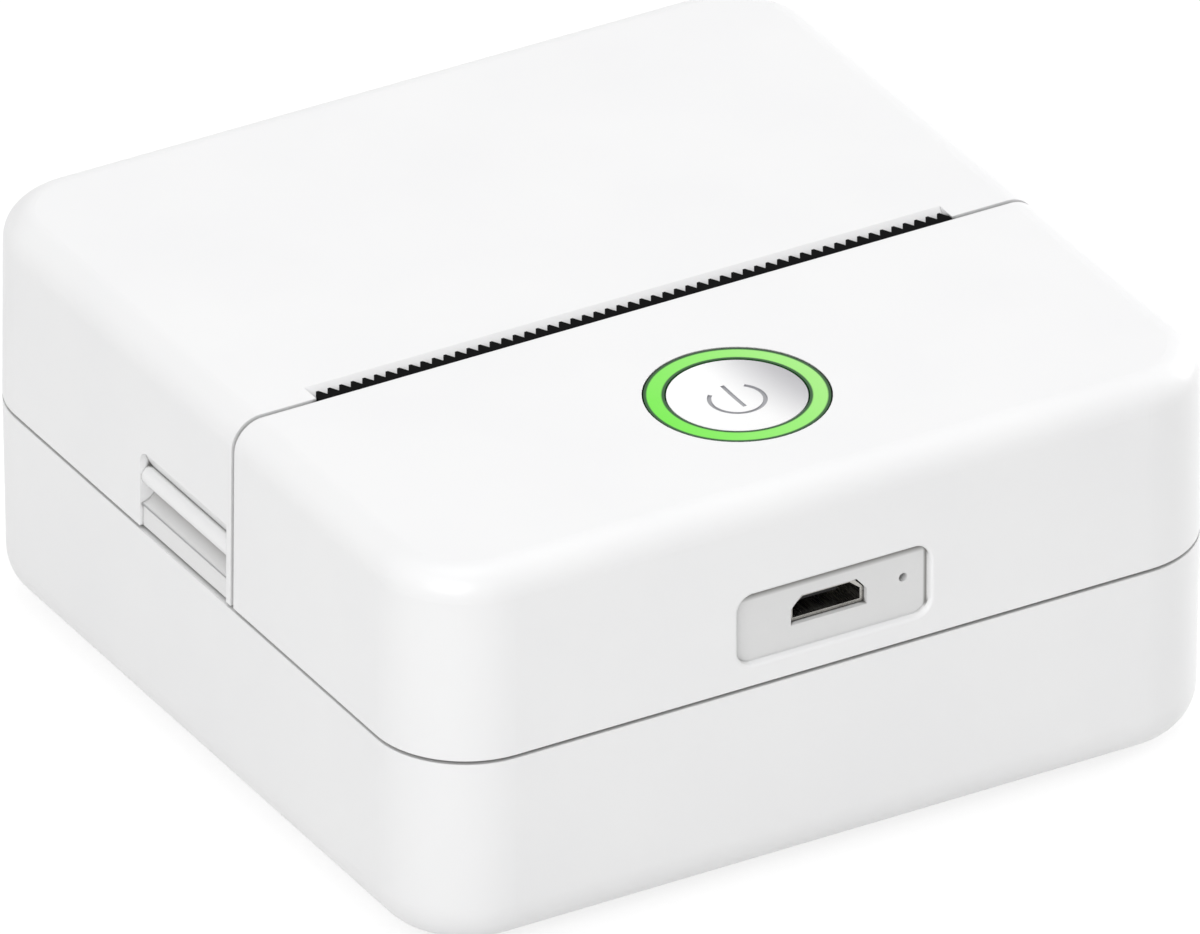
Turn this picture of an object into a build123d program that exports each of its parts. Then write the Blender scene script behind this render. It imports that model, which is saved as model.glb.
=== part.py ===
from build123d import *
import os
from math import acos, asin, atan2, cos, degrees, pi, radians, sin, tan

# Portable thermal printer for 57 mm paper rolls, in millimetres.
# The table is Z = 0, the face with the charging socket looks to -Y, and the cover,
# which carries the platen roller, hinges on the +Y side.

os.makedirs("parts", exist_ok=True)

# Outer case
body_width = 83.0
body_depth = 83.5
body_height = 38.6
base_height = 19.75
corner_radius = 9.0
draft_angle = 0.7
top_edge_radius = 2.9
bottom_edge_radius = 4.3
inner_edge_radius = 1.5
side_wall = 2.0
top_wall = 1.8
floor_wall = 2.0
seam_gap = 0.35
split_gap = 0.5
front_seam_y = -6.84
part_gap = 0.3
seat_gap = 0.05
running_fit = 0.05
screw_fit = 0.02

# Feet
foot_height = 0.8
foot_sunk = 0.6
foot_length = 16.0
foot_width = 6.0
foot_corner = 2.8
foot_edge_radius = 0.25
foot_inset_x = 19.5
foot_inset_y = 7.75

# Rear hinge
cover_open_angle = 80.0
hinge_play_angle = 2.0
hinge_inset = 2.75
hinge_end_inset = 7.0
knuckle_radius = 2.3
cover_knuckle_length = 9.7
end_knuckle_length = 7.2
hinge_pin_radius = 1.0
hinge_pin_hold = 4.0

# Front lip and snap hooks that hold the front shell on the base
lip_gap = 0.1
lip_thickness = 0.9
lip_height = 1.2
lip_root_height = 3.0
lip_end_y = -16.0
hook_y = -11.0
hook_width = 6.0
hook_thickness = 1.2
hook_pocket_reach = 8.3
hook_length = 5.0
hook_root = 4.0
barb_height = 1.5
barb_depth = 0.6

# Screws with their heads
screw_radius = 0.95
screw_head_radius = 1.9
screw_head_height = 1.2
boss_radius = 2.6

# Two case screws, driven from below at the front corners
case_screw_inset_x = 6.5
case_screw_inset_y = 6.95
case_screw_length = 9.0
column_radius = 3.1
column_top = 14.0
column_web = 3.0
counterbore_radius = 2.3

# Paper roll and its cradle
paper_side_play = 1.5
cradle_frame_gap = 0.4
roll_clearance = 0.4
cradle_wall = 1.4
cradle_side_play = 0.75
cradle_rib = 0.9
cradle_rib_width = 8.0
cradle_lip_height = 3.0
cradle_tab_length = 6.5
cradle_tab_width = 7.0
cradle_tab_z = 8.0
cradle_tab_thickness = 1.5
cradle_screw_offset = 3.6

# Platen roller, its bushings and holder
platen_y = -1.3
platen_below_ceiling = 7.6
platen_radius = 4.5
platen_end_gap = 1.0
platen_shaft_radius = 1.5
platen_shaft_stand_left = 0.5
platen_shaft_stand_right = 0.2
bushing_radius = 2.6
bushing_outer_stand = 0.2
holder_arm_gap = 0.5
holder_arm_thickness = 1.5
holder_arm_half_width = 3.4
holder_arm_drop = 3.6
holder_plate_thickness = 1.0
holder_plate_clearance = 0.9
holder_front_y = -3.2
holder_rear_y = 9.0
holder_screw_x = 20.0
holder_screw_y = 6.3
holder_screw_length = 3.0

# Print frame that holds head, platen, gears and motor, with the room beside it for the gears
drive_room = 11.5
frame_plate_thickness = 1.5
frame_front_y = -14.5
frame_front_thickness = 1.5
frame_lower_rear_y = 2.4
frame_upper_rear_y = 5.5
frame_step_drop = 6.0
frame_plate_rise = 4.0
frame_wall_rise = 3.0
notch_clearance = 0.1
notch_flare = 0.5
guide_clearance = 1.1
guide_thickness = 1.0
guide_start_angle = 240.0
guide_end_angle = 325.0
frame_boss_height = 3.0
frame_tab_inset = 4.0
frame_tab_ys = (-10.0, -0.7)
frame_tab_thickness = 1.5
frame_tab_half = 3.0
frame_screw_length = 4.5
motor_plate_margin = 0.6
motor_plate_top_margin = 1.4

# Print head with its pivot and springs
nip_gap = 0.15
ceramic_thickness = 0.7
ceramic_height = 9.0
heatsink_thickness = 2.0
heatsink_end_gap = 0.7
head_rise = 3.5
head_drop = 11.0
head_pivot_drop = 9.5
head_barrel_radius = 1.65
head_pin_radius = 0.75
chip_cover_height = 2.2
chip_cover_depth = 0.3
spring_x = 15.0
spring_coil_radius = 1.5
spring_wire_radius = 0.18
spring_turns = 4
spring_peg_radius = 0.9
spring_peg_length = 1.6

# Gear drive
gear_module = 0.5
pressure_angle = 20.0
addendum_share = 0.8
dedendum_share = 1.05
gear_backlash = 0.13
motor_teeth = 12
compound_large_teeth = 36
compound_small_teeth = 14
idler_teeth = 24
platen_teeth = 22
gear_stand = 2.5
gear_width = 1.6
gear_layer_gap = 0.3
gear_axle_radius = 1.0
gear_axle_end = 0.3
idler_axle_end = 0.1
gear_hub_radius = 1.8
compound_axle_sag = 0.4
motor_axle_height = 8.3

# Stepper motor
motor_radius = 7.5
motor_length = 12.0
motor_shaft_radius = 0.75
motor_shaft_stand = 0.15
motor_room = 0.3
motor_boss_radius = 2.5
motor_screw_offset = 5.4
motor_screw_radius = 0.7
motor_screw_length = 3.0
motor_screw_head_radius = 1.3
motor_screw_head_height = 0.8

# Main board
board_side_gap = 0.5
board_thickness = 1.6
board_front_gap = 2.85
board_rear_gap = 1.0
board_screw_inset_x = 4.5
board_screw_inset_front = 4.4
board_screw_inset_rear = 5.0
board_screw_length = 6.0

# Charging socket and the shallow recess around it
recess_width = 19.7
recess_height = 7.0
recess_corner = 1.6
recess_depth = 0.7
recess_wall_slope = 8.0
recess_rim_radius = 0.3
recess_height_above_seam = 5.8
socket_width = 7.5
socket_narrow_width = 5.4
socket_height = 2.55
socket_chamfer_height = 1.1
socket_wall = 0.3
socket_length = 5.4
socket_height_above_seam = 6.05
socket_x = -0.2
socket_setback = 0.5
socket_hole_gap = 0.12
tongue_width = 3.9
tongue_thickness = 0.65
tongue_length = 3.6

# Reset switch behind its pinhole
reset_x = 7.4
reset_height_above_seam = 6.25
reset_hole_radius = 0.42
reset_body_width = 4.0
reset_body_depth = 2.4
reset_body_height = 2.6
reset_plunger_radius = 0.7
reset_plunger_length = 1.0
reset_travel = 0.25

# Power button, light ring and switch
button_forward = 0.2
ring_outer_radius = 8.33
ring_inner_radius = 6.46
ring_gap = 0.15
ring_below_top = 0.05
ring_flange_radius = 9.6
ring_flange_height = 0.9
ring_leg_radius = 8.4
ring_leg_half = 0.8
led_height = 0.9
led_half = 0.9
led_play = 0.2
button_below_top = 0.1
button_flange_radius = 7.1
button_flange_height = 1.0
button_cap_height = 1.6
button_stem_radius = 2.0
button_dish_radius = 45.0
button_stop_gap = 0.1
symbol_radius = 2.5
symbol_line = 0.4
symbol_depth = 0.12
symbol_gap_angle = 44.0
symbol_bar_top = 2.7
symbol_bar_length = 4.1
switch_half = 3.0
switch_height = 3.5
switch_plunger_radius = 1.7
switch_plunger_height = 1.0
switch_plunger_sunk = 1.2

# Tear bar with its teeth
tear_bar_overhang = 4.0
tear_bar_thickness = 0.6
tear_bar_below_top = 0.05
tear_bar_skin = 0.5
tear_bar_buried = 5.0
tear_tooth_pitch = 1.18
tear_tooth_length = 0.9
tear_tip_width = 0.25
tear_bar_shown = 0.6
tear_tip_gap = 0.2
tear_end_gap = 0.15
exit_bevel = 0.8
tear_slot_play = 0.05
front_rib_thickness = 1.5
front_rib_drop = 3.4
cover_rib_thickness = 1.5
cover_rib_drop = 2.6
rib_end_gap = 1.5

# Finger grips on both sides of the cover
grip_front_land = 0.83
grip_rear_y = 9.9
grip_top = 7.95
grip_edge_depth = 0.25
grip_corner = 1.2
grip_panel_top = 2.45
grip_panel_depth = 0.35
grip_panel_lip = 0.1
grip_cove_depth = 1.8
grip_ridge_height = 5.25
grip_ridge_half = 0.9
grip_ridge_depth = 0.15
grip_slope_depth = 1.1
grip_backing = 1.2

# Battery pack and its lead
battery_height = 9.0
battery_plate_gap = 2.0
battery_motor_gap = 4.0
battery_front_gap = 4.75
battery_rear_gap = 3.5
battery_corner = 1.5
battery_rib_height = 3.0
battery_rib_thickness = 1.2
lead_radius = 0.75
lead_bend = 2.2
lead_inset = 4.0
lead_height = 7.0
plug_width = 5.0
plug_depth = 4.0
plug_height = 2.6

# Small parts on the board and in the paper path
chip_gap = 0.5
processor_size = 9.0
processor_height = 1.0
processor_inset = 9.0
driver_length = 8.0
driver_width = 5.0
driver_inset = 8.0
driver_forward = 1.5
radio_right_x = -10.0
radio_width = 7.0
radio_height = 1.8
radio_inset = 1.4
sensor_x = 12.0
sensor_length = 4.5
sensor_width = 3.0
sensor_height = 1.5

# Levels and places that follow from the sizes above
floor_z = foot_height
floor_top_z = floor_z + floor_wall
seam_z = floor_z + base_height
top_z = floor_z + body_height
ceiling_z = top_z - top_wall
rear_y = body_depth / 2
front_y = -body_depth / 2
hinge_y = rear_y - hinge_inset
groove_angle = cover_open_angle / 2 + hinge_play_angle
end_knuckle_end = body_width / 2 - hinge_end_inset
end_knuckle_start = end_knuckle_end - end_knuckle_length
cover_knuckle_end = end_knuckle_start - part_gap
cover_knuckle_start = cover_knuckle_end - cover_knuckle_length
centre_knuckle_half = cover_knuckle_start - part_gap
hinge_pin_start = centre_knuckle_half - hinge_pin_hold

foot_x = body_width / 2 - foot_inset_x
foot_y = body_depth / 2 - foot_inset_y
case_screw_x = body_width / 2 - case_screw_inset_x
case_screw_y = front_y + case_screw_inset_y
button_y = (front_y + front_seam_y) / 2 - button_forward

frame_plate_x = body_width / 2 - drive_room
paper_width = 2 * (frame_plate_x - paper_side_play)
cradle_outer_radius = (hinge_y - knuckle_radius - part_gap - frame_lower_rear_y - cradle_frame_gap) / 2
trough_radius = cradle_outer_radius - cradle_wall
roll_radius = trough_radius - roll_clearance
cradle_half = paper_width / 2 + cradle_side_play
cradle_span = (-cradle_half - cradle_wall, cradle_half + cradle_wall)
roll_z = floor_top_z + cradle_rib + cradle_outer_radius
roll_y = hinge_y - knuckle_radius - part_gap - cradle_outer_radius

frame_plate_outer_x = frame_plate_x + frame_plate_thickness
frame_tab_x = frame_plate_x - frame_tab_inset
motor_front_x = frame_plate_x
motor_rear_x = motor_front_x - motor_length
frame_tab_z = floor_top_z + frame_boss_height
frame_bottom_z = floor_top_z + part_gap
platen_z = ceiling_z - platen_below_ceiling
frame_step_z = platen_z - frame_step_drop
frame_top_z = platen_z + frame_plate_rise
frame_wall_top_z = platen_z + frame_wall_rise
platen_half = frame_plate_x - platen_end_gap
heatsink_half = frame_plate_x - heatsink_end_gap
head_top_z = platen_z + head_rise
head_bottom_z = platen_z - head_drop
head_pivot_z = platen_z - head_pivot_drop
ceramic_face_y = platen_y - platen_radius - nip_gap
heatsink_front_y = ceramic_face_y - ceramic_thickness
heatsink_back_y = heatsink_front_y - heatsink_thickness
head_pivot_y = heatsink_front_y - heatsink_thickness / 2
head_pivot_axis = (head_pivot_y, head_pivot_z)
frame_wall_inner_y = frame_front_y + frame_front_thickness

holder_plate_z = platen_z + platen_radius + holder_plate_clearance
holder_arm_x = frame_plate_outer_x + holder_arm_gap
holder_arm_outer_x = holder_arm_x + holder_arm_thickness
bushing_end_x = holder_arm_outer_x + bushing_outer_stand

inner_gear_x = frame_plate_outer_x + gear_stand
outer_gear_x = inner_gear_x + gear_width + gear_layer_gap
compound_axle_end_x = outer_gear_x + gear_width + gear_axle_end
idler_axle_end_x = inner_gear_x + gear_width + idler_axle_end

recess_z = seam_z + recess_height_above_seam
socket_z = seam_z + socket_height_above_seam
reset_z = seam_z + reset_height_above_seam
board_top_z = socket_z - socket_height / 2
board_bottom_z = board_top_z - board_thickness
board_half_width = frame_plate_x - board_side_gap
board_front_y = front_y + board_front_gap
board_rear_y = frame_front_y - board_rear_gap
board_screw_x = board_half_width - board_screw_inset_x
board_screw_ys = (board_front_y + board_screw_inset_front, board_rear_y - board_screw_inset_rear)
radio_y = board_front_y + radio_inset + radio_width / 2
radio_left_x = -(board_screw_x - boss_radius - chip_gap)
processor_x = -(board_screw_x - processor_inset)
processor_y = radio_y + (radio_width + processor_size) / 2 + chip_gap
driver_x = board_screw_x - driver_inset
driver_y = processor_y - driver_forward

battery_left_x = -(frame_plate_x - battery_plate_gap)
battery_right_x = motor_rear_x - battery_motor_gap
battery_front_y = front_y + battery_front_gap
battery_rear_y = frame_front_y - battery_rear_gap
lead_y = battery_rear_y - lead_inset
lead_z = floor_top_z + lead_height

tear_bar_half = paper_width / 2 + tear_bar_overhang
tear_plate_z = top_z - tear_bar_skin - tear_bar_thickness
rib_half = tear_bar_half - rib_end_gap


def wall_inset(height):
    """How far the draft has drawn the wall in at a height above or below the seam."""
    return abs(height - seam_z) * tan(radians(draft_angle))


def polar(radius, angle):
    """A point at a radius and an angle in radians."""
    return (radius * cos(angle), radius * sin(angle))


def step_away(start, distance, direction):
    """The axle place a distance away in a direction, as (y, z)."""
    return (
        start[0] + distance * cos(radians(direction)),
        start[1] + distance * sin(radians(direction)),
    )


def centre_distance(teeth_a, teeth_b):
    """Distance between the axles of two gears in mesh."""
    return gear_module * (teeth_a + teeth_b) / 2


def forward_direction(start, distance, height):
    """Direction towards the front that meets a height after a distance, in degrees."""
    return 180.0 - degrees(asin((height - start[1]) / distance))


def meshing_phase(teeth_a, phase_a, teeth_b, direction):
    """Angle of gear B that puts a tooth space of B on a tooth of A, all in radians."""
    phase_in_pitch = teeth_a * (direction - phase_a)
    return direction + pi - (pi - phase_in_pitch) / teeth_b


# Axle places, each as (y, z), from the platen down to the motor.
# The idler stands below the platen along the platen's own path as the cover swings,
# so that the platen gear drops straight into mesh.
swing_angle = degrees(atan2(hinge_y - platen_y, platen_z - seam_z))
platen_axis = (platen_y, platen_z)
idler_axis = step_away(platen_axis, centre_distance(idler_teeth, platen_teeth), swing_angle + 180.0)
compound_distance = centre_distance(compound_small_teeth, idler_teeth)
motor_axis_z = floor_top_z + motor_axle_height
compound_axis_z = (idler_axis[1] + motor_axis_z) / 2 - compound_axle_sag
compound_direction = forward_direction(idler_axis, compound_distance, compound_axis_z)
compound_axis = step_away(idler_axis, compound_distance, compound_direction)
motor_distance = centre_distance(motor_teeth, compound_large_teeth)
motor_direction = forward_direction(compound_axis, motor_distance, motor_axis_z)
motor_axis = step_away(compound_axis, motor_distance, motor_direction)
motor_plate_top_z = motor_axis[1] + motor_radius + motor_plate_top_margin

motor_phase = 0.0
compound_large_phase = meshing_phase(
    motor_teeth, motor_phase, compound_large_teeth, radians(motor_direction - 180.0)
)
compound_small_phase = 0.0
idler_phase = meshing_phase(
    compound_small_teeth, compound_small_phase, idler_teeth, radians(compound_direction - 180.0)
)
platen_phase = meshing_phase(idler_teeth, idler_phase, platen_teeth, radians(swing_angle))


def gear_outline(teeth, phase, axis, face_x):
    """Involute outline of a gear across its axle, at one end of its teeth."""
    pitch_radius = gear_module * teeth / 2
    base_radius = pitch_radius * cos(radians(pressure_angle))
    tip_radius = pitch_radius + addendum_share * gear_module
    root_radius = pitch_radius - dedendum_share * gear_module
    start_radius = max(base_radius, root_radius)
    middle_radius = (start_radius + tip_radius) / 2
    pitch_half_angle = (pi * gear_module / 2 - gear_backlash) / 2 / pitch_radius
    pitch_roll = tan(radians(pressure_angle)) - radians(pressure_angle)

    def half_angle(radius):
        """Half the angle that a tooth fills at a radius."""
        pressure = acos(min(1.0, base_radius / radius))
        return pitch_half_angle + pitch_roll - (tan(pressure) - pressure)

    start_half = half_angle(start_radius)
    middle_half = half_angle(middle_radius)
    tip_half = half_angle(tip_radius)
    pitch_step = 2 * pi / teeth
    across = Plane(origin=(face_x, axis[0], axis[1]), x_dir=(0, 1, 0), z_dir=(1, 0, 0))
    with BuildSketch(across) as outline:
        with BuildLine():
            for tooth in range(teeth):
                centre = phase + tooth * pitch_step
                if start_radius > root_radius:
                    Line(polar(root_radius, centre - start_half), polar(start_radius, centre - start_half))
                    Line(polar(start_radius, centre + start_half), polar(root_radius, centre + start_half))
                ThreePointArc(
                    polar(start_radius, centre - start_half),
                    polar(middle_radius, centre - middle_half),
                    polar(tip_radius, centre - tip_half),
                )
                ThreePointArc(
                    polar(tip_radius, centre - tip_half),
                    polar(tip_radius, centre),
                    polar(tip_radius, centre + tip_half),
                )
                ThreePointArc(
                    polar(tip_radius, centre + tip_half),
                    polar(middle_radius, centre + middle_half),
                    polar(start_radius, centre + start_half),
                )
                ThreePointArc(
                    polar(root_radius, centre + start_half),
                    polar(root_radius, centre + pitch_step / 2),
                    polar(root_radius, centre + pitch_step - start_half),
                )
        make_face()
    return outline.sketch


def block(x_limits, y_limits, z_limits, mode=Mode.ADD):
    """A box between two limits on each axis, in the sub-part being built."""
    with Locations(((x_limits[0] + x_limits[1]) / 2, (y_limits[0] + y_limits[1]) / 2,
                    (z_limits[0] + z_limits[1]) / 2)):
        Box(x_limits[1] - x_limits[0], y_limits[1] - y_limits[0], z_limits[1] - z_limits[0], mode=mode)


def post(x, y, radius, z_limits, mode=Mode.ADD):
    """An upright cylinder in the sub-part being built."""
    with Locations((x, y, (z_limits[0] + z_limits[1]) / 2)):
        Cylinder(radius, z_limits[1] - z_limits[0], mode=mode)


def rod(x_limits, axis, radius, mode=Mode.ADD):
    """A cylinder along X about an axis at (y, z), in the sub-part being built."""
    with Locations(Location(((x_limits[0] + x_limits[1]) / 2, axis[0], axis[1]), (0, 90, 0))):
        Cylinder(radius, x_limits[1] - x_limits[0], mode=mode)


def both_sides(start, end):
    """The limits of a feature on the right, and of its twin on the left."""
    return ((start, end), (-end, -start))


def upper_form(inset, top_inset, edge_radius):
    """The case above the level seam, drawn in by an inset."""
    with BuildPart() as form:
        with BuildSketch(Plane.XY.offset(seam_z)):
            RectangleRounded(body_width - 2 * inset, body_depth - 2 * inset, corner_radius - inset)
        extrude(amount=top_z - top_inset - seam_z, taper=draft_angle)
        fillet(form.edges().group_by(Axis.Z)[-1], edge_radius)
    return form.part


def lower_form(inset, floor_inset, edge_radius):
    """The case below the level seam, drawn in by an inset."""
    with BuildPart() as form:
        with BuildSketch(Plane.XY.offset(seam_z)):
            RectangleRounded(body_width - 2 * inset, body_depth - 2 * inset, corner_radius - inset)
        extrude(amount=base_height - floor_inset, dir=(0, 0, -1), taper=draft_angle)
        fillet(form.edges().group_by(Axis.Z)[0], edge_radius)
    return form.part


def hinge_wedge(sign):
    """The V-shaped space behind the hinge, above the groove face of the base with sign -1,
    and below that of the cover with sign 1."""
    reach = 2 * hinge_inset
    slope = (hinge_y + reach * cos(radians(groove_angle)), seam_z + sign * reach * sin(radians(groove_angle)))
    with BuildPart() as wedge:
        with BuildSketch(Plane.YZ):
            with BuildLine():
                Polyline(
                    (hinge_y, seam_z),
                    slope,
                    (slope[0] + reach, slope[1]),
                    (slope[0] + reach, seam_z - sign * reach),
                    (hinge_y, seam_z - sign * reach),
                    close=True,
                )
            make_face()
        extrude(amount=body_width / 2, both=True)
    return wedge.part


def socket_outline(width, narrow_width, height):
    """Points of the socket's outline, with its narrow side up."""
    low_z = socket_z - height / 2
    high_z = socket_z + height / 2
    waist_z = high_z - height * socket_chamfer_height / socket_height
    return (
        (socket_x - width / 2, low_z),
        (socket_x + width / 2, low_z),
        (socket_x + width / 2, waist_z),
        (socket_x + narrow_width / 2, high_z),
        (socket_x - narrow_width / 2, high_z),
        (socket_x - width / 2, waist_z),
    )


hinge_axis = (hinge_y, seam_z)
outer_upper = upper_form(0.0, 0.0, top_edge_radius)
inner_upper = upper_form(side_wall, top_wall, inner_edge_radius)
outer_lower = lower_form(0.0, 0.0, bottom_edge_radius)
inner_lower = lower_form(side_wall, floor_wall, bottom_edge_radius - side_wall)
base_wedge = hinge_wedge(-1)
cover_wedge = hinge_wedge(1)
base_knuckles = (
    (-centre_knuckle_half, centre_knuckle_half),
    *both_sides(end_knuckle_start, end_knuckle_end),
)
cover_knuckles = both_sides(cover_knuckle_start, cover_knuckle_end)
hinge_pin_spans = both_sides(hinge_pin_start, end_knuckle_end)


# Base shell: the tub under everything, with the fixed hinge knuckles.
with BuildPart() as base_shell:
    add(outer_lower)
    add(inner_lower, mode=Mode.SUBTRACT)
    block(
        (-body_width, body_width),
        (-body_depth, body_depth),
        (seam_z - seam_gap / 2, seam_z + seam_gap),
        Mode.SUBTRACT,
    )
    add(base_wedge, mode=Mode.SUBTRACT)
    for knuckle in cover_knuckles:
        knuckle_room = (knuckle[0] - part_gap, knuckle[1] + part_gap)
        rod(knuckle_room, hinge_axis, knuckle_radius + part_gap, Mode.SUBTRACT)
    for knuckle in base_knuckles:
        rod(knuckle, hinge_axis, knuckle_radius)
    for span in hinge_pin_spans:
        rod(span, hinge_axis, hinge_pin_radius + running_fit, Mode.SUBTRACT)
    # Lip that the front shell drops over, on a thicker root.
    with BuildSketch(Plane.XY.offset(seam_z - seam_gap / 2 - lip_root_height)):
        RectangleRounded(
            body_width - side_wall, body_depth - side_wall, corner_radius - side_wall / 2
        )
        RectangleRounded(
            body_width - 2 * (side_wall + lip_gap + lip_thickness),
            body_depth - 2 * (side_wall + lip_gap + lip_thickness),
            corner_radius - side_wall - lip_gap - lip_thickness,
            mode=Mode.SUBTRACT,
        )
        with Locations((0, body_depth / 2 + lip_end_y)):
            Rectangle(body_width, body_depth, mode=Mode.SUBTRACT)
    extrude(amount=lip_root_height)
    with BuildSketch(Plane.XY.offset(seam_z - seam_gap / 2)):
        RectangleRounded(
            body_width - 2 * (side_wall + lip_gap),
            body_depth - 2 * (side_wall + lip_gap),
            corner_radius - side_wall - lip_gap,
        )
        RectangleRounded(
            body_width - 2 * (side_wall + lip_gap + lip_thickness),
            body_depth - 2 * (side_wall + lip_gap + lip_thickness),
            corner_radius - side_wall - lip_gap - lip_thickness,
            mode=Mode.SUBTRACT,
        )
        with Locations((0, body_depth / 2 + lip_end_y)):
            Rectangle(body_width, body_depth, mode=Mode.SUBTRACT)
    extrude(amount=seam_gap + lip_height)
    # Columns for the two case screws, counterbored from below.
    for side in (-1, 1):
        post(side * case_screw_x, case_screw_y, column_radius, (floor_z + floor_wall / 2, column_top))
        post(
            side * case_screw_x, case_screw_y, counterbore_radius,
            (floor_z, column_top - column_web), Mode.SUBTRACT,
        )
        post(
            side * case_screw_x, case_screw_y, screw_radius + running_fit,
            (column_top - column_web, column_top), Mode.SUBTRACT,
        )
    # Bosses under the print frame and the cradle.
    for side in (-1, 1):
        for tab_y in frame_tab_ys:
            post(side * frame_tab_x, tab_y, boss_radius, (floor_top_z - seat_gap, frame_tab_z))
            post(
                side * frame_tab_x, tab_y, screw_radius + screw_fit,
                (frame_tab_z - frame_screw_length, frame_tab_z), Mode.SUBTRACT,
            )
        cradle_boss_x = side * (cradle_half + cradle_wall + cradle_screw_offset)
        post(cradle_boss_x, roll_y, boss_radius, (floor_top_z - seat_gap, cradle_tab_z))
        post(
            cradle_boss_x, roll_y, screw_radius + screw_fit,
            (cradle_tab_z - frame_screw_length, cradle_tab_z), Mode.SUBTRACT,
        )
    block(
        (-cradle_half, cradle_half),
        (roll_y - cradle_rib_width / 2, roll_y + cradle_rib_width / 2),
        (floor_top_z - seat_gap, floor_top_z + cradle_rib),
    )
    rod(cradle_span, (roll_y, roll_z), cradle_outer_radius, Mode.SUBTRACT)
    # Ribs that keep the battery in its place.
    for rib_x in (battery_left_x - battery_rib_thickness - part_gap, battery_right_x + part_gap):
        block(
            (rib_x, rib_x + battery_rib_thickness),
            (battery_front_y + battery_corner, battery_rear_y - battery_corner),
            (floor_top_z - seat_gap, floor_top_z + battery_rib_height),
        )
    # Pockets for the snap hooks and for the feet.
    pocket_end_x = body_width / 2 - side_wall + barb_depth
    for pocket in both_sides(pocket_end_x - hook_pocket_reach, pocket_end_x):
        block(
            pocket,
            (hook_y - hook_width / 2 - part_gap, hook_y + hook_width / 2 + part_gap),
            (seam_z - hook_length - part_gap, seam_z - hook_length + barb_height + part_gap),
            Mode.SUBTRACT,
        )
    with BuildSketch(Plane.XY.offset(floor_z)):
        with GridLocations(2 * foot_x, 2 * foot_y, 2, 2):
            RectangleRounded(foot_length + part_gap / 2, foot_width + part_gap / 2, foot_corner)
    extrude(amount=foot_sunk, mode=Mode.SUBTRACT)
base_shell.part.label = "base_shell"
export_step(base_shell.part, "parts/base_shell.step")

# Rubber feet, set into shallow pockets in the floor.
with BuildPart() as rubber_feet:
    with BuildSketch(Plane.XY):
        with GridLocations(2 * foot_x, 2 * foot_y, 2, 2):
            RectangleRounded(foot_length, foot_width, foot_corner)
    extrude(amount=foot_height + foot_sunk)
    fillet(rubber_feet.edges().group_by(Axis.Z)[0], foot_edge_radius)
rubber_feet.part.label = "rubber_feet"
export_step(rubber_feet.part, "parts/rubber_feet.step")


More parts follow.
